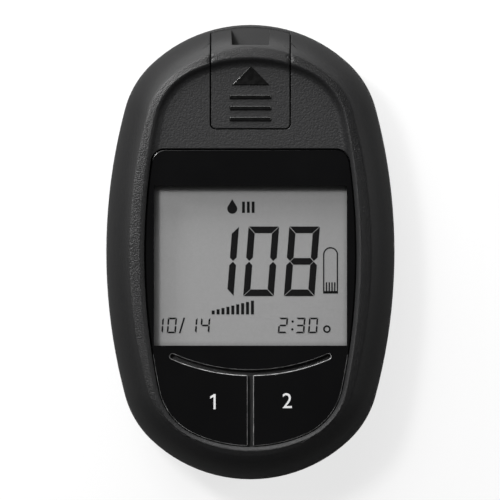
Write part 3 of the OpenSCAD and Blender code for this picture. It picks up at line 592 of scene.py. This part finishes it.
# %% Holes in the dish
DOOR_GAP, BELOW = 0.2, -1           # BELOW is where tools start that cut the rear face
carve(rear, ("bay", (-11.0, -32.4, BELOW), (11.0, 17.5, 12.4)),
      ("door_recess", (DOOR[0] - DOOR_GAP, DOOR[1] - DOOR_GAP, BELOW),
       (DOOR[2] + DOOR_GAP, DOOR[3] + DOOR_GAP, 1.75)),
      ("latch_room", (-4.5, 19.0, BELOW), (4.5, 23.9, 5.7)))
for x in (-TONGUE_X, TONGUE_X):
    carve(rear, ("tongue_pocket", (x - 2.3, -36.3, 1.1), (x + 2.3, -32.7, 2.9)))
for x in (-CELL_X, CELL_X):
    carve(rear, ("tail_slot", (x - 1.4, 16.9, 12.0), (x + 1.4, 17.5, 15)))
for x, y in SCREWS:
    cut(rear, post("head_seat", x, y, 2.4, BELOW, 5.5))
    cut(rear, post("screw_way", x, y, 1.4, BELOW, 12))
carve(rear, ("label_place", (-10.1, 27.15, BELOW), (10.1, 35.85, 0.25)),
      ("thumb_hollow", (-3.6, 23.4, BELOW), (3.6, 25.0, 0.9)))
round_edges(rear, 0.12)
smooth(rear)

# %% [markdown]
# ## Battery door
# The door is a flat plate with two tongues at one end and a springy latch at the other. The
# grooves give the thumb a grip. The latch is drawn in side view and pulled sideways: up, over,
# and down to a pad that the thumb presses.

# %% Door
door = block("battery_door_plate", (DOOR[0], DOOR[1], 0.15), (DOOR[2], DOOR[3], 1.65))
for i in range(5):
    half, y = 6.0 - 0.5 * i, 16.6 - 1.5 * i
    carve(door, ("groove", (-half, y - 0.4, BELOW), (half, y + 0.4, 0.65)))
round_edges(door, 0.2, 3)
for x in (-TONGUE_X, TONGUE_X):
    tongue = block("tongue", (x - 2, -35.8, 1.25), (x + 2, -33.6, 1.85))
    round_edges(tongue, 0.12)
    join(door, tongue)
side_view = [(18.7, 0.15), (20.2, 0.15), (20.2, 4.4), (21.9, 4.4), (21.9, 0.15), (23.5, 0.15),
             (23.5, 1.25), (22.7, 1.25), (22.7, 5.2), (19.4, 5.2), (19.4, 1.65), (18.7, 1.65)]
latch = start_point("latch", -4, *side_view[0])
for (a, b), (c, d) in zip(side_view, side_view[1:]):
    draw_line(0, c - a, d - b)
raise_outline(8, (1, 0, 0))
round_edges(latch, 0.15)
join(door, latch)
smooth(door)

# %% [markdown]
# ## Cells
# Each cell is turned from one profile: a crimped can, a rounded shoulder and a nub, which make
# a cell look like a cell. The sleeve and the metal ends get their materials by where they lie.

# %% Two cells
def turned_cell(name, x, base, up):
    """A cell on the bay's centre height, from its flat end up to its nub."""
    profile = [(0, 0), (3.6, 0), (4.0, 0.25), (4.6, 0.25), (4.95, 0.05), (5.17, 0.2), (5.25, 0.6),
               (5.25, 6.0), (5.25, 14.0), (5.25, 42.6), (5.14, 43.0), (4.85, 43.25),
               (4.4, 43.2), (4.2, 42.95), (3.0, 42.95), (2.5, 43.1), (2.05, 43.3),
               (1.9, 43.5), (1.9, 44.2), (1.72, 44.45), (1.4, 44.5), (0, 44.5)]
    piece = start_point(name, x, base, CELL_Z)
    for (r, a), (s, b) in zip(profile, profile[1:]):
        draw_line(s - r, up * (b - a))
    select_whole()
    bpy.ops.mesh.spin(steps=56, angle=2 * math.pi, axis=(0, 1, 0),
                      center=(x * MM, 0, CELL_Z * MM), use_auto_merge=True)
    tidy_mesh()
    smooth(piece, 40)
    return piece


cell_left = turned_cell("cell_left", -CELL_X, -27.4, 1)
cell_right = turned_cell("cell_right", CELL_X, 12.5, -1)

# %% [markdown]
# ## Figures on the display
# The display shows plain figures made of seven bars each, with mitred ends and thin gaps, and
# leaning by 4.45 degrees. Thin raised shapes on the glass stay sharp at any distance. Every bar
# is one small outline, drawn point by point.

# %% Seven-bar figures
INK_LOW, INK_HIGH = 18.19, 18.24
LEAN = math.tan(math.radians(4.45))
BARS = {"0": "abcdef", "1": "bc", "2": "abged", "3": "abgcd", "4": "fgbc", "8": "abcdefg"}


def bar_points(bar, w, h, t, gap):
    """One bar's corners inside a figure of width w, height h and stroke t."""
    top = [(gap, h), (w - gap, h), (w - t - gap, h - t), (t + gap, h - t)]
    left = [(0, h - gap), (t, h - t - gap), (t, (h + t) / 2 + gap), (t / 2, h / 2 + gap),
            (0, (h + t) / 2 + gap)]
    middle = [(t / 2 + gap, h / 2), (t + gap, (h + t) / 2), (w - t - gap, (h + t) / 2),
              (w - t / 2 - gap, h / 2), (w - t - gap, (h - t) / 2), (t + gap, (h - t) / 2)]
    return {"a": top, "d": [(x, h - y) for x, y in top], "g": middle, "f": left,
            "e": [(x, h - y) for x, y in left], "b": [(w - x, y) for x, y in left],
            "c": [(w - x, h - y) for x, y in left]}[bar]


def figure(mark, right, bottom, w, h, t, gap):
    """A seven-bar figure whose upper right corner leans to x = right."""
    bars = []
    for bar in BARS[mark]:
        points = [(right - w - LEAN * h + x + LEAN * y, bottom + y)
                  for x, y in bar_points(bar, w, h, t, gap)]
        bars.append(flat_shape(f"bar_{bar}", points, INK_LOW, INK_HIGH))
    return join(*bars)


def figures(name, marks, bottom, w, h, t, gap, extra=()):
    """Several figures, and other marks, as one piece."""
    drawn = [figure(mark, right, bottom, w, h, t, gap) for mark, right in marks]
    whole = join(*drawn, *extra)
    whole.name = name
    print(name, len(whole.data.polygons), "faces")
    return whole


SMALL = (-16.54, 1.88, 3.18, 0.34, 0.07)    # bottom, width, height, stroke and gap
reading = figures("reading_figures", (("1", -2.33), ("0", 5.87), ("8", 14.17)),
                  -8.98, 6.24, 14.2, 1.36, 0.09)
slash = flat_shape("slash", [(-14.6, -16.54), (-14.25, -16.54), (-13.3, -13.36),
                             (-13.65, -13.36)], INK_LOW, INK_HIGH)
date = figures("date_figures", (("1", -17.6), ("0", -14.95), ("1", -10.75), ("4", -8.15)),
               *SMALL, (slash,))
colon = [post("colon", 8.55 + 0.06 * i, -15.75 + 1.6 * i, 0.24, INK_LOW, INK_HIGH, 16)
         for i in (0, 1)]
clock = figures("clock_figures", (("2", 7.7), ("3", 11.25), ("0", 13.85)), *SMALL, colon)

# %% [markdown]
# Where a real display shows words, this one has plain signs of the same weight: a drop and a
# level above the reading, rising steps below it, and a small ring by the clock. The strip sign
# keeps its shape.

# %% Signs
def drop_sign(name, x, y, radius, tip):
    """A drop: an arc round its belly, and two straight sides up to the tip."""
    lift = math.acos(radius / tip)
    start_point(name, x, y + tip, INK_LOW)
    draw_line(-radius * math.sin(lift), radius * math.cos(lift) - tip)
    spin_round((x, y), 2 * math.pi - 2 * lift, 28)
    return raise_outline(INK_HIGH - INK_LOW)


def strip_outline(name, inset, low, high):
    """An upright strip with a round top end, moved in by inset."""
    start_point(name, 14.82 + inset, -8.45 + 2 * inset, low)
    draw_line(3.05 - 2 * inset, 0)
    draw_line(0, 7.945 - 2 * inset)
    spin_round((16.345, -0.505), math.pi, 20)
    return raise_outline(high - low)


strip_sign = strip_outline("strip_sign", 0, INK_LOW, INK_HIGH)
cut(strip_sign, strip_outline("strip_inside", 0.26, UNDER, OVER))
combs = [block("comb", (15.38 + 0.56 * i, -8.2, INK_LOW), (15.66 + 0.56 * i, -6.15, INK_HIGH))
         for i in range(4)]
join(strip_sign, *combs)
level = [block("level", (-1.7 + 0.98 * i, 8.0, INK_LOW), (-1.12 + 0.98 * i, 10.3, INK_HIGH))
         for i in range(3)]
sample_sign = join(drop_sign("sample_sign", -3.7, 8.85, 1.02, 1.95), *level)
steps = [block("steps", (i - 7.9, -12.7, INK_LOW), (i - 7.28, 0.25 * i - 11.9, INK_HIGH))
         for i in range(9)]
level_sign = join(*steps)
level_sign.name = "level_sign"
clock_sign = post("clock_sign", 15.6, -15.7, 0.78, INK_LOW, INK_HIGH, 32)
cut(clock_sign, post("hole", 15.6, -15.7, 0.44, UNDER, OVER, 32))
ink_pieces = (reading, date, clock, strip_sign, sample_sign, level_sign, clock_sign)
print(len(ink_pieces), "pieces of display ink")

# %% [markdown]
# The two keys carry plain figures in place of letters. They are printed, so they are only a few
# hundredths of a millimetre thick. The 1 is a drawn outline, and the 2 is in Blender's font.

# %% Figures on the keys
PRINT_HALF, PRINT_Z = 0.01, PANEL_TOP + 0.008
left_figure = flat_shape("left_key_figure", [
    (x - 7.3, y - 32.0) for x, y in ((0.21, 0), (0.21, 3.1), (-0.1, 3.1), (-0.9, 2.6),
                                     (-0.9, 2.15), (-0.21, 2.52), (-0.21, 0))],
    PRINT_Z - PRINT_HALF, PRINT_Z + PRINT_HALF)
bpy.ops.object.text_add(location=(0, 0, 0))
letter = bpy.context.object.data
letter.body = "2"
letter.size = 4.4 * MM
letter.align_x = letter.align_y = "CENTER"
letter.extrude = PRINT_HALF * MM
letter.resolution_u = 8
bpy.ops.object.convert(target="MESH")
right_figure = bpy.context.object
right_figure.name = "right_key_figure"
edit()
select_whole()
bpy.ops.transform.translate(value=(NIB_X * MM, NIB_Y * MM, PRINT_Z * MM))
rest()
print("key figure", [round(d / MM, 2) for d in right_figure.dimensions], "mm")

# %% [markdown]
# ## Rounded edges and smooth shading
# A moulded edge is never quite sharp: it has a tenth of a millimetre of rounding, and that line
# catches the light. It goes on after all the cuts, so that the openings get it too.

# %% Finish the front shell
round_edges(front, FINE_ROUND, 2, 40)
smooth(front)

# %% [markdown]
# ## Finishes
# Every finish starts from one shader and the piece's own Object coordinates, in metres. Noise
# in cells of 1 / scale metres gives grain, a slow change of colour, and the small unevenness of
# gloss that handled plastic has. An image texture would not fit a new size of the case, so all
# patterns are worked out from the place on the piece.

# %% Tools for finishes
def rgba(colour):
    """A colour with its alpha; one number stands for a grey."""
    return (colour,) * 3 + (1,) if isinstance(colour, float) else (*colour, 1)


def finish(name, colour, roughness, metallic=0.0):
    """A new material with one even colour and gloss."""
    material = bpy.data.materials.new(name)
    material.use_nodes = True
    shader = material.node_tree.nodes["Principled BSDF"]
    shader.inputs["Base Color"].default_value = rgba(colour)
    shader.inputs["Roughness"].default_value = roughness
    shader.inputs["Metallic"].default_value = metallic
    return material


def new_node(material, kind, inputs=(), **settings):
    """Adds a node; inputs maps a socket to a value or to another node's output."""
    tree = material.node_tree
    made = tree.nodes.new("ShaderNode" + kind)
    for key, value in settings.items():
        setattr(made, key, value)
    for key, value in dict(inputs).items():
        if isinstance(value, bpy.types.NodeSocket):
            tree.links.new(value, made.inputs[key])
        else:
            made.inputs[key].default_value = value
    return made


def place_on(material):
    """The place on the piece, in its own coordinates."""
    return new_node(material, "TexCoord").outputs["Object"]


def noise(material, scale, detail=2.0, stretch=(1, 1, 1)):
    """Noise on the piece's own place, stretched over x, y and z."""
    turned = new_node(material, "Mapping", {"Vector": place_on(material), "Scale": stretch})
    return new_node(material, "TexNoise",
                    {"Vector": turned.outputs[0], "Scale": scale, "Detail": detail}).outputs[0]


def maths(material, operation, first, second=0.0):
    """One sum, product or other result of two values."""
    return new_node(material, "Math", {0: first, 1: second}, operation=operation).outputs[0]


def feed(material, socket, source):
    """Joins a source to a socket of the finish's shader."""
    shader = material.node_tree.nodes["Principled BSDF"]
    material.node_tree.links.new(source, shader.inputs[socket])


def spread(material, source, low, high, start=0.35, end=0.65, **settings):
    """A value that goes from low to high while the source goes from start to end."""
    return new_node(material, "MapRange",
                    {"Value": source, "From Min": start, "From Max": end,
                     "To Min": low, "To Max": high}, **settings).outputs[0]


def colours(material, source, *stops):
    """Colours the piece by a source value; each stop is a place and a colour."""
    ramp = new_node(material, "ValToRGB", {"Fac": source})
    while len(ramp.color_ramp.elements) < len(stops):
        ramp.color_ramp.elements.new(0.5)
    for element, (place, colour) in zip(ramp.color_ramp.elements, stops):
        element.position = place
        element.color = rgba(colour)
    feed(material, "Base Color", ramp.outputs[0])


def relief(material, depth, *sources):
    """A relief of the sources' sum; depth is in millimetres."""
    height = sources[0]
    for source in sources[1:]:
        height = maths(material, "ADD", height, source)
    bump = new_node(material, "Bump", {"Height": height, "Distance": depth * MM})
    feed(material, "Normal", bump.outputs[0])


def tint(material, scale, detail, dark, light):
    """A slow change between two colours."""
    colours(material, noise(material, scale, detail), (0.3, dark), (0.7, light))


def gloss(material, scale, detail, low, high, stretch=(1, 1, 1)):
    """A roughness that wanders between two values."""
    feed(material, "Roughness", spread(material, noise(material, scale, detail, stretch),
                                       low, high))


def grain(material, depth, scale, detail, stretch=(1, 1, 1)):
    """A relief of one noise."""
    relief(material, depth, noise(material, scale, detail, stretch))


def wear(material, *pieces):
    """Gives pieces their one finish."""
    for piece in pieces:
        piece.data.materials.clear()
        piece.data.materials.append(material)


def wear_on(material, piece, test):
    """Gives a finish to the faces whose centre and normal pass a test."""
    pick(piece)
    piece.data.materials.append(material)
    edit()
    select_faces(test)
    piece.active_material_index = len(piece.data.materials) - 1
    bpy.ops.object.material_slot_assign()
    rest()


print("finish tools ready")

# %% [markdown]
# ### Case plastic
# The rim and the sides are satin ABS: almost smooth, with a very soft unevenness. The recessed
# face and the cover carry a fine spark-eroded grain, about 0.4 mm across, and mirror less. On
# the crest of the rim, where it faces up, the grain starts and hands have polished it a little,
# which gives the sparkling line in the photograph.

# %% Satin and grained case plastic
def case_colour(name, shade=0.3, shine=0.35):
    """Dark grey plastic with a faint speckle."""
    material = finish(name, (0.02, 0.02, 0.021), 0.5)
    tint(material, 2300, 3, [c * shade for c in (0.017, 0.017, 0.0178)],
         [c * shade for c in (0.03, 0.03, 0.0308)])
    material.node_tree.nodes["Principled BSDF"].inputs["Specular IOR Level"].default_value = shine
    return material


SATIN, GRAIN = 4200, 2700       # cells of relief to the metre
satin_case = case_colour("satin_case")
gloss(satin_case, SATIN, 1, 0.5, 0.6)
grain(satin_case, 0.03, SATIN, 1)
grained_case = case_colour("grained_case", 0.6, 0.26)
gloss(grained_case, GRAIN, 1, 0.5, 0.62)
grain(grained_case, 0.08, GRAIN, 1)
print("satin and grained plastic done")

# %% The rim, polished and grained where it faces up
CREST_FROM, CREST_TO = 0.84, 0.97   # how far up a face points, from 0 to 1
rim_case = case_colour("rim_case")
facing = new_node(rim_case, "NewGeometry").outputs["Normal"]
upright = new_node(rim_case, "SeparateXYZ", {0: facing}).outputs["Z"]
feed(rim_case, "Roughness", spread(rim_case, upright, 0.6, 0.34, CREST_FROM, CREST_TO))
relief(rim_case, 0.06, maths(rim_case, "MULTIPLY", noise(rim_case, SATIN, 1),
                             spread(rim_case, upright, 0.2, 1.0, CREST_FROM, CREST_TO)))
for piece in (front, cover):
    wear(rim_case, piece)
    wear_on(grained_case, piece,
            lambda p, n: abs(p.z - FACE) < 0.05 and n.z > 0.98 or p.z > FACE and n.z > 0.2
            and n.x * p.x + n.y * p.y < -0.1 * math.hypot(p.x, p.y))
wear(satin_case, rear, door)
print("grained faces:", sum(f.material_index == 1 for f in front.data.polygons))

# %% [markdown]
# ### Glossy parts of the face
# The panel is a black sheet with a hard coat. It mirrors its surroundings, so it needs a low
# roughness and a faint waviness, as a thin sheet is never quite flat. The arrow and the bars on
# the cover are moulded black and polished. Where the sheet is cut through round the keys, its
# rounded edge is painted light grey: a painted highlight along the slots and the edges of the
# keys.

# %% Panel sheet, marks and print
panel_gloss = finish("panel_gloss", (0.0022, 0.0022, 0.0024), 0.06)
gloss(panel_gloss, 260, 3, 0.05, 0.11)
grain(panel_gloss, 0.004, 120, 1)
tint(panel_gloss, 60, 2, (0.002, 0.002, 0.0022), (0.0028, 0.0028, 0.003))
mark_gloss = finish("mark_gloss", 0.003, 0.16)
gloss(mark_gloss, 900, 2, 0.13, 0.22)
grain(mark_gloss, 0.004, 1500, 1)
key_print = finish("key_print", 0.62, 0.45)
tint(key_print, 2500, 2, 0.56, 0.66)
display_ink = finish("display_ink", 0.002, 0.7)
tint(display_ink, 900, 2, (0.0015, 0.0015, 0.0018), (0.0025, 0.0025, 0.0028))
display_ink.node_tree.nodes["Principled BSDF"].inputs["Specular IOR Level"].default_value = 0.1
# Painted highlight: light grey for the rounded edges of the sheet and keys below the display.
painted_edge_highlight = finish("painted_edge_highlight", 0.16, 0.3)
colours(painted_edge_highlight, noise(painted_edge_highlight, 700, 2), (0.35, 0.08), (0.65, 0.24))
gloss(painted_edge_highlight, 2000, 2, 0.22, 0.4)
print("sheet and print finishes done")

# %% Finishes of the face
# The sheet and the keys are glossy black, with the painted highlight on their rounded edges below
# the display.
for piece in (sheet, *key_caps):
    wear(panel_gloss, piece)
    wear_on(painted_edge_highlight, piece, lambda p, n: 0.25 < n.z < 0.9 and p.z > PANEL_LOW + 0.5
            and p.y < VIEW[1] - 0.5)
wear(mark_gloss, cover_arrow, *grip_bars)
wear(key_print, left_figure, right_figure)
wear(display_ink, *ink_pieces)
print("face finishes done")

# %% [markdown]
# ### The display
# A reflective liquid crystal cell is mid grey, with a fine paper-like sparkle. Near the window's
# edges its colour is darkened by painted shade, where the panel would shade it. The lens is a
# clear sheet, so it is made almost transparent and keeps only its gloss. Glass with refraction
# would need many more samples.

# %% Display cell and lens
def painted_edge_shade(material, along, low, high):
    """Painted shade: 1 inside the window, falling to 0.78 at its two edges, over one millimetre.
    """
    middle, half = (low + high) / 2, (high - low) / 2
    away = maths(material, "ABSOLUTE", maths(material, "SUBTRACT", along, middle * MM))
    return spread(material, away, 1.0, 0.78, (half - 1.0) * MM, half * MM,
                  interpolation_type="SMOOTHSTEP")


# The cell's grey is darkened near the window's edges: painted shade where the panel would shade
# it.
cell_grey = finish("cell_grey", 0.25, 0.5)
across = new_node(cell_grey, "SeparateXYZ", {0: place_on(cell_grey)}).outputs
inside = maths(cell_grey, "MULTIPLY", painted_edge_shade(cell_grey, across["X"], VIEW[0], VIEW[2]),
               painted_edge_shade(cell_grey, across["Y"], VIEW[1], VIEW[3]))
speck = spread(cell_grey, noise(cell_grey, 2600, 3), 0.94, 1.0)
speck_and_edge_shade = maths(cell_grey, "MULTIPLY", inside, speck)
colours(cell_grey, speck_and_edge_shade, (0.0, 0.05), (0.5, 0.1), (0.85, 0.24), (1.0, 0.285))
gloss(cell_grey, 400, 2, 0.45, 0.6)
grain(cell_grey, 0.003, 3000, 2)
lens_clear = finish("lens_clear", 0.02, 0.05)
lens_clear.node_tree.nodes["Principled BSDF"].inputs["Alpha"].default_value = 0.06
gloss(lens_clear, 300, 2, 0.04, 0.09)
grain(lens_clear, 0.002, 150, 1)
print("display finishes done")

# %% [markdown]
# ### The AAA cells
# Each cell has a plain film sleeve and bare nickel-plated ends.

# %% Sleeve and plated ends
sleeve = finish("cell_sleeve", (0.05, 0.06, 0.07), 0.3)
gloss(sleeve, 300, 2, 0.25, 0.34)
tint(sleeve, 200, 2, (0.03, 0.045, 0.07), (0.04, 0.055, 0.082))
grain(sleeve, 0.01, 400, 2, (1, 0.2, 1))
cell_metal = finish("cell_metal", (0.62, 0.6, 0.56), 0.25, 1.0)
gloss(cell_metal, 1800, 3, 0.18, 0.34)
grain(cell_metal, 0.004, 2500, 2, (1, 0.1, 1))
for piece in (cell_left, cell_right):
    wear(sleeve, piece)
    wear_on(cell_metal, piece,
            lambda p, n: abs(n.y) > 0.8 or math.hypot(abs(p.x) - CELL_X, p.z - CELL_Z) < 3.8)
print("cell finishes done")

# %% [markdown]
# ### The pieces inside
# These keep their CAD shapes and only get finishes: gilt and nickel plating, green laminate
# with its tracks, black epoxy, and the striped rubber that joins the display to the board. They
# are seen only when the cover or the door is off.

# %% Metals
gilt = finish("gilt_plating", (0.8, 0.6, 0.24), 0.22, 1.0)
gloss(gilt, 1500, 3, 0.16, 0.3, (1, 0.1, 1))
tint(gilt, 250, 2, (0.78, 0.57, 0.22), (0.84, 0.65, 0.29))
grain(gilt, 0.003, 2500, 2, (1, 0.1, 1))
nickel = finish("nickel_plating", (0.63, 0.62, 0.6), 0.28, 1.0)
gloss(nickel, 1400, 3, 0.2, 0.38)
tint(nickel, 300, 2, (0.58, 0.57, 0.55), (0.68, 0.67, 0.65))
grain(nickel, 0.004, 2600, 2)
print("metals done")

# %% Plastics and film
def moulded(name, dark, light, roughness, depth=0.01):
    """A plastic with a little unevenness in its colour, gloss and surface."""
    material = finish(name, dark, roughness)
    tint(material, 150, 2, dark, light)
    gloss(material, 2800, 2, roughness - 0.05, roughness + 0.05)
    grain(material, depth, 2800, 2)
    return material


port_plastic = moulded("port_plastic", (0.01, 0.01, 0.0104), (0.013, 0.013, 0.0134), 0.5)
pale_plastic = moulded("pale_plastic", (0.68, 0.68, 0.64), (0.72, 0.72, 0.68), 0.5)
switch_plastic = moulded("switch_plastic", 0.006, 0.009, 0.45)
plunger_plastic = moulded("plunger_plastic", (0.5, 0.05, 0.02), (0.54, 0.06, 0.025), 0.4)
chip_epoxy = moulded("chip_epoxy", (0.009, 0.009, 0.01), (0.014, 0.014, 0.015), 0.6, 0.02)
label_film = moulded("label_film", (0.56, 0.56, 0.54), (0.6, 0.6, 0.575), 0.38, 0.008)
print("plastics done")

# %% Laminate and contact rubber
laminate = finish("board_laminate", (0.01, 0.075, 0.03), 0.3)
tracks = new_node(laminate, "TexBrick", {
    "Vector": place_on(laminate), "Scale": 260, "Mortar Size": 0.05, "Mortar Smooth": 0.2,
    "Color1": (0, 0, 0, 1), "Color2": (0.25, 0.25, 0.25, 1), "Mortar": (1, 1, 1, 1)})
colours(laminate, tracks.outputs["Color"], (0.0, (0.008, 0.062, 0.026)),
        (0.5, (0.011, 0.075, 0.03)), (1.0, (0.02, 0.13, 0.055)))
gloss(laminate, 500, 2, 0.25, 0.36)
relief(laminate, 0.02, tracks.outputs["Fac"], noise(laminate, 1500, 2))

stripes = finish("contact_rubber", (0.72, 0.25, 0.32), 0.7)
bands = new_node(stripes, "TexWave",
                 {"Vector": place_on(stripes), "Scale": 1600, "Distortion": 0.2},
                 wave_type="BANDS", bands_direction="X")
colours(stripes, bands.outputs["Fac"], (0.4, (0.72, 0.26, 0.33)), (0.6, (0.03, 0.03, 0.032)))
gloss(stripes, 900, 2, 0.62, 0.78)
grain(stripes, 0.01, 1800, 2)
print("laminate and rubber done")

# %% Every CAD piece gets its finish
FINISHES = (
    (satin_case, "front_housing rear_housing strip_port_cover battery_door"),
    (panel_gloss, "face_panel memory_key set_key"), (port_plastic, "strip_port_base"),
    (cell_grey, "display_glass"), (lens_clear, "display_lens"), (laminate, "circuit_board"),
    (gilt, "strip_contacts"), (pale_plastic, "display_frame"), (label_film, "rear_label"),
    (stripes, "contact_strip_upper contact_strip_lower"),
    (switch_plastic, "memory_switch set_switch buzzer"),
    (plunger_plastic, "memory_plunger set_plunger"), (chip_epoxy, "processor_chip memory_chip"),
    (nickel, "clock_crystal board_screws housing_screws positive_contact negative_contact "
             "negative_spring bridge_contact bridge_spring"),
    (sleeve, "battery_left battery_right"))
for material, names in FINISHES:
    wear(material, *(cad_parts[name] for name in names.split()))
print(sum(len(names.split()) for _, names in FINISHES), "of", len(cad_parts), "finished")

# %% [markdown]
# ## What moves with what
# Each new piece stands for a CAD piece or sits on one, and moves with its body, except the two
# key caps. The keys are flaps that bend at a neck; their caps are only set in place, and the
# figures on them ride on the keys.

# %% Rides and replacements
STANDS_FOR = [
    (front, "case", "front_housing", "case_plastic"),
    (rear, "case", "rear_housing", "case_plastic"),
    (sheet, "case", "face_panel", "panel_plastic"),
    (cover, "port_cover", "strip_port_cover", "case_plastic"),
    (door, "door", "battery_door", "case_plastic"),
    (cell_left, "case", "battery_left", "cell_case"),
    (cell_right, "case", "battery_right", "cell_case")]
for piece, body, node, slot in STANDS_FOR:
    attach(piece, body)
    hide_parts(node)
for piece in (cover_arrow, *grip_bars):
    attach(piece, "port_cover")
for piece in ink_pieces:
    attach(piece, "case")
for cap, digit, body, node in ((left_cap, left_figure, "left_key", "memory_key"),
                               (right_cap, right_figure, "right_key", "set_key")):
    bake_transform(cap)
    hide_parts(node)
    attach(digit, body)

# %% [markdown]
# ## Table, light and camera
# The photograph is a straight view of the face on white, lit softly from above the top end: the
# rim is light there and black at the foot. So one wide soft lamp stands beyond the top end and
# one above it, a small strong one draws the bright line along the crest, two weak ones light the
# sides, and the world adds a little even light.
#
# The meter was lit on a darker ground and cut out. So the table is white for the camera, and
# grey for the light that it throws back on the meter. It can't be seen from below, and a lamp
# under it shows the back of the meter there. Neither changes what is seen from above.

# %% Table
rest()
bpy.ops.mesh.primitive_plane_add(size=4, location=(0, 0, -0.0001))
table = placed("table")
ground = finish("table_white", 0.86, 0.9)
tint(ground, 40, 3, 0.86, 0.875)
wear(ground, table)

# %% What the table is to each kind of ray
def mix(material, share, first, second):
    """A shader that goes from the first to the second as share goes from 0 to 1."""
    return new_node(material, "MixShader", {0: share, 1: first, 2: second}).outputs[0]


GLOW_SHARE, BOUNCE = 0.75, 0.22     # how much is even white; how light it is for the meter
nodes = ground.node_tree.nodes
path = new_node(ground, "LightPath").outputs
seen = maths(ground, "MAXIMUM", path["Is Camera Ray"], path["Is Transmission Ray"])
glow = new_node(ground, "Emission", {"Color": rgba(1.0), "Strength": 1.0})
grey = new_node(ground, "BsdfDiffuse", {"Color": rgba(BOUNCE)})
white = mix(ground, seen, grey.outputs[0], nodes["Principled BSDF"].outputs[0])
white = mix(ground, maths(ground, "MULTIPLY", seen, GLOW_SHARE), white, glow.outputs[0])
behind = new_node(ground, "NewGeometry").outputs["Backfacing"]
clear = maths(ground, "MAXIMUM", behind, path["Is Shadow Ray"])
nothing = new_node(ground, "BsdfTransparent").outputs[0]
ground.node_tree.links.new(mix(ground, clear, white, nothing),
                           nodes["Material Output"].inputs[0])
print("table shader has", len(nodes), "nodes")

# %% Lamps and world
def soft_lamp(name, place, size, power, aim=(0, 0, 0.012)):
    """An area lamp that points at the meter; places and sizes in metres."""
    rest()
    bpy.ops.object.light_add(type="AREA", location=place)
    lamp = bpy.context.object
    lamp.name = name
    lamp.data.shape = "RECTANGLE"
    lamp.data.size, lamp.data.size_y = size
    lamp.data.energy = power
    line = [a - b for a, b in zip(aim, place)]
    flat = math.hypot(line[0], line[1])
    lamp.rotation_euler = (math.atan2(flat, -line[2]), 0, math.atan2(-line[0], line[1]))
    print(name, power, "W at", [round(c, 2) for c in place])


soft_lamp("top_lamp", (-0.24, 0.3, 0.62), (0.45, 0.3), 2.1)
soft_lamp("glint_lamp", (-0.3, 0.3, 0.75), (0.12, 0.12), 3.6)
soft_lamp("low_lamp", (-0.08, 0.55, 0.15), (0.6, 0.28), 5.6)
soft_lamp("left_lamp", (-0.5, 0.4, 0.3), (0.06, 0.12), 1.8)
soft_lamp("right_lamp", (0.6, 0.1, 0.22), (0.1, 0.3), 0.65)
soft_lamp("rear_lamp", (0, 0.02, -0.6), (0.3, 0.3), 4.0)
world = bpy.data.worlds.new("studio")
bpy.context.scene.world = world
world.use_nodes = True
sky = world.node_tree.nodes["Background"].inputs
sky["Color"].default_value = (1, 1, 1, 1)
sky["Strength"].default_value = 0.06

# %% Camera
rest()
CAMERA_HEIGHT, SENSOR, SEEN_WIDTH = 2.5, 36, 0.1023     # metres, millimetres, metres
bpy.ops.object.camera_add(location=(-0.00008, 0.00043, CAMERA_HEIGHT), rotation=(0, 0, 0))
camera = bpy.context.object
camera.name = "camera"
camera.data.lens = SENSOR * (CAMERA_HEIGHT - 0.01) / SEEN_WIDTH
camera.data.clip_end = 10
bpy.context.scene.camera = camera
bpy.context.scene.view_settings.view_transform = "Standard"
print("camera lens", round(camera.data.lens, 1), "mm")
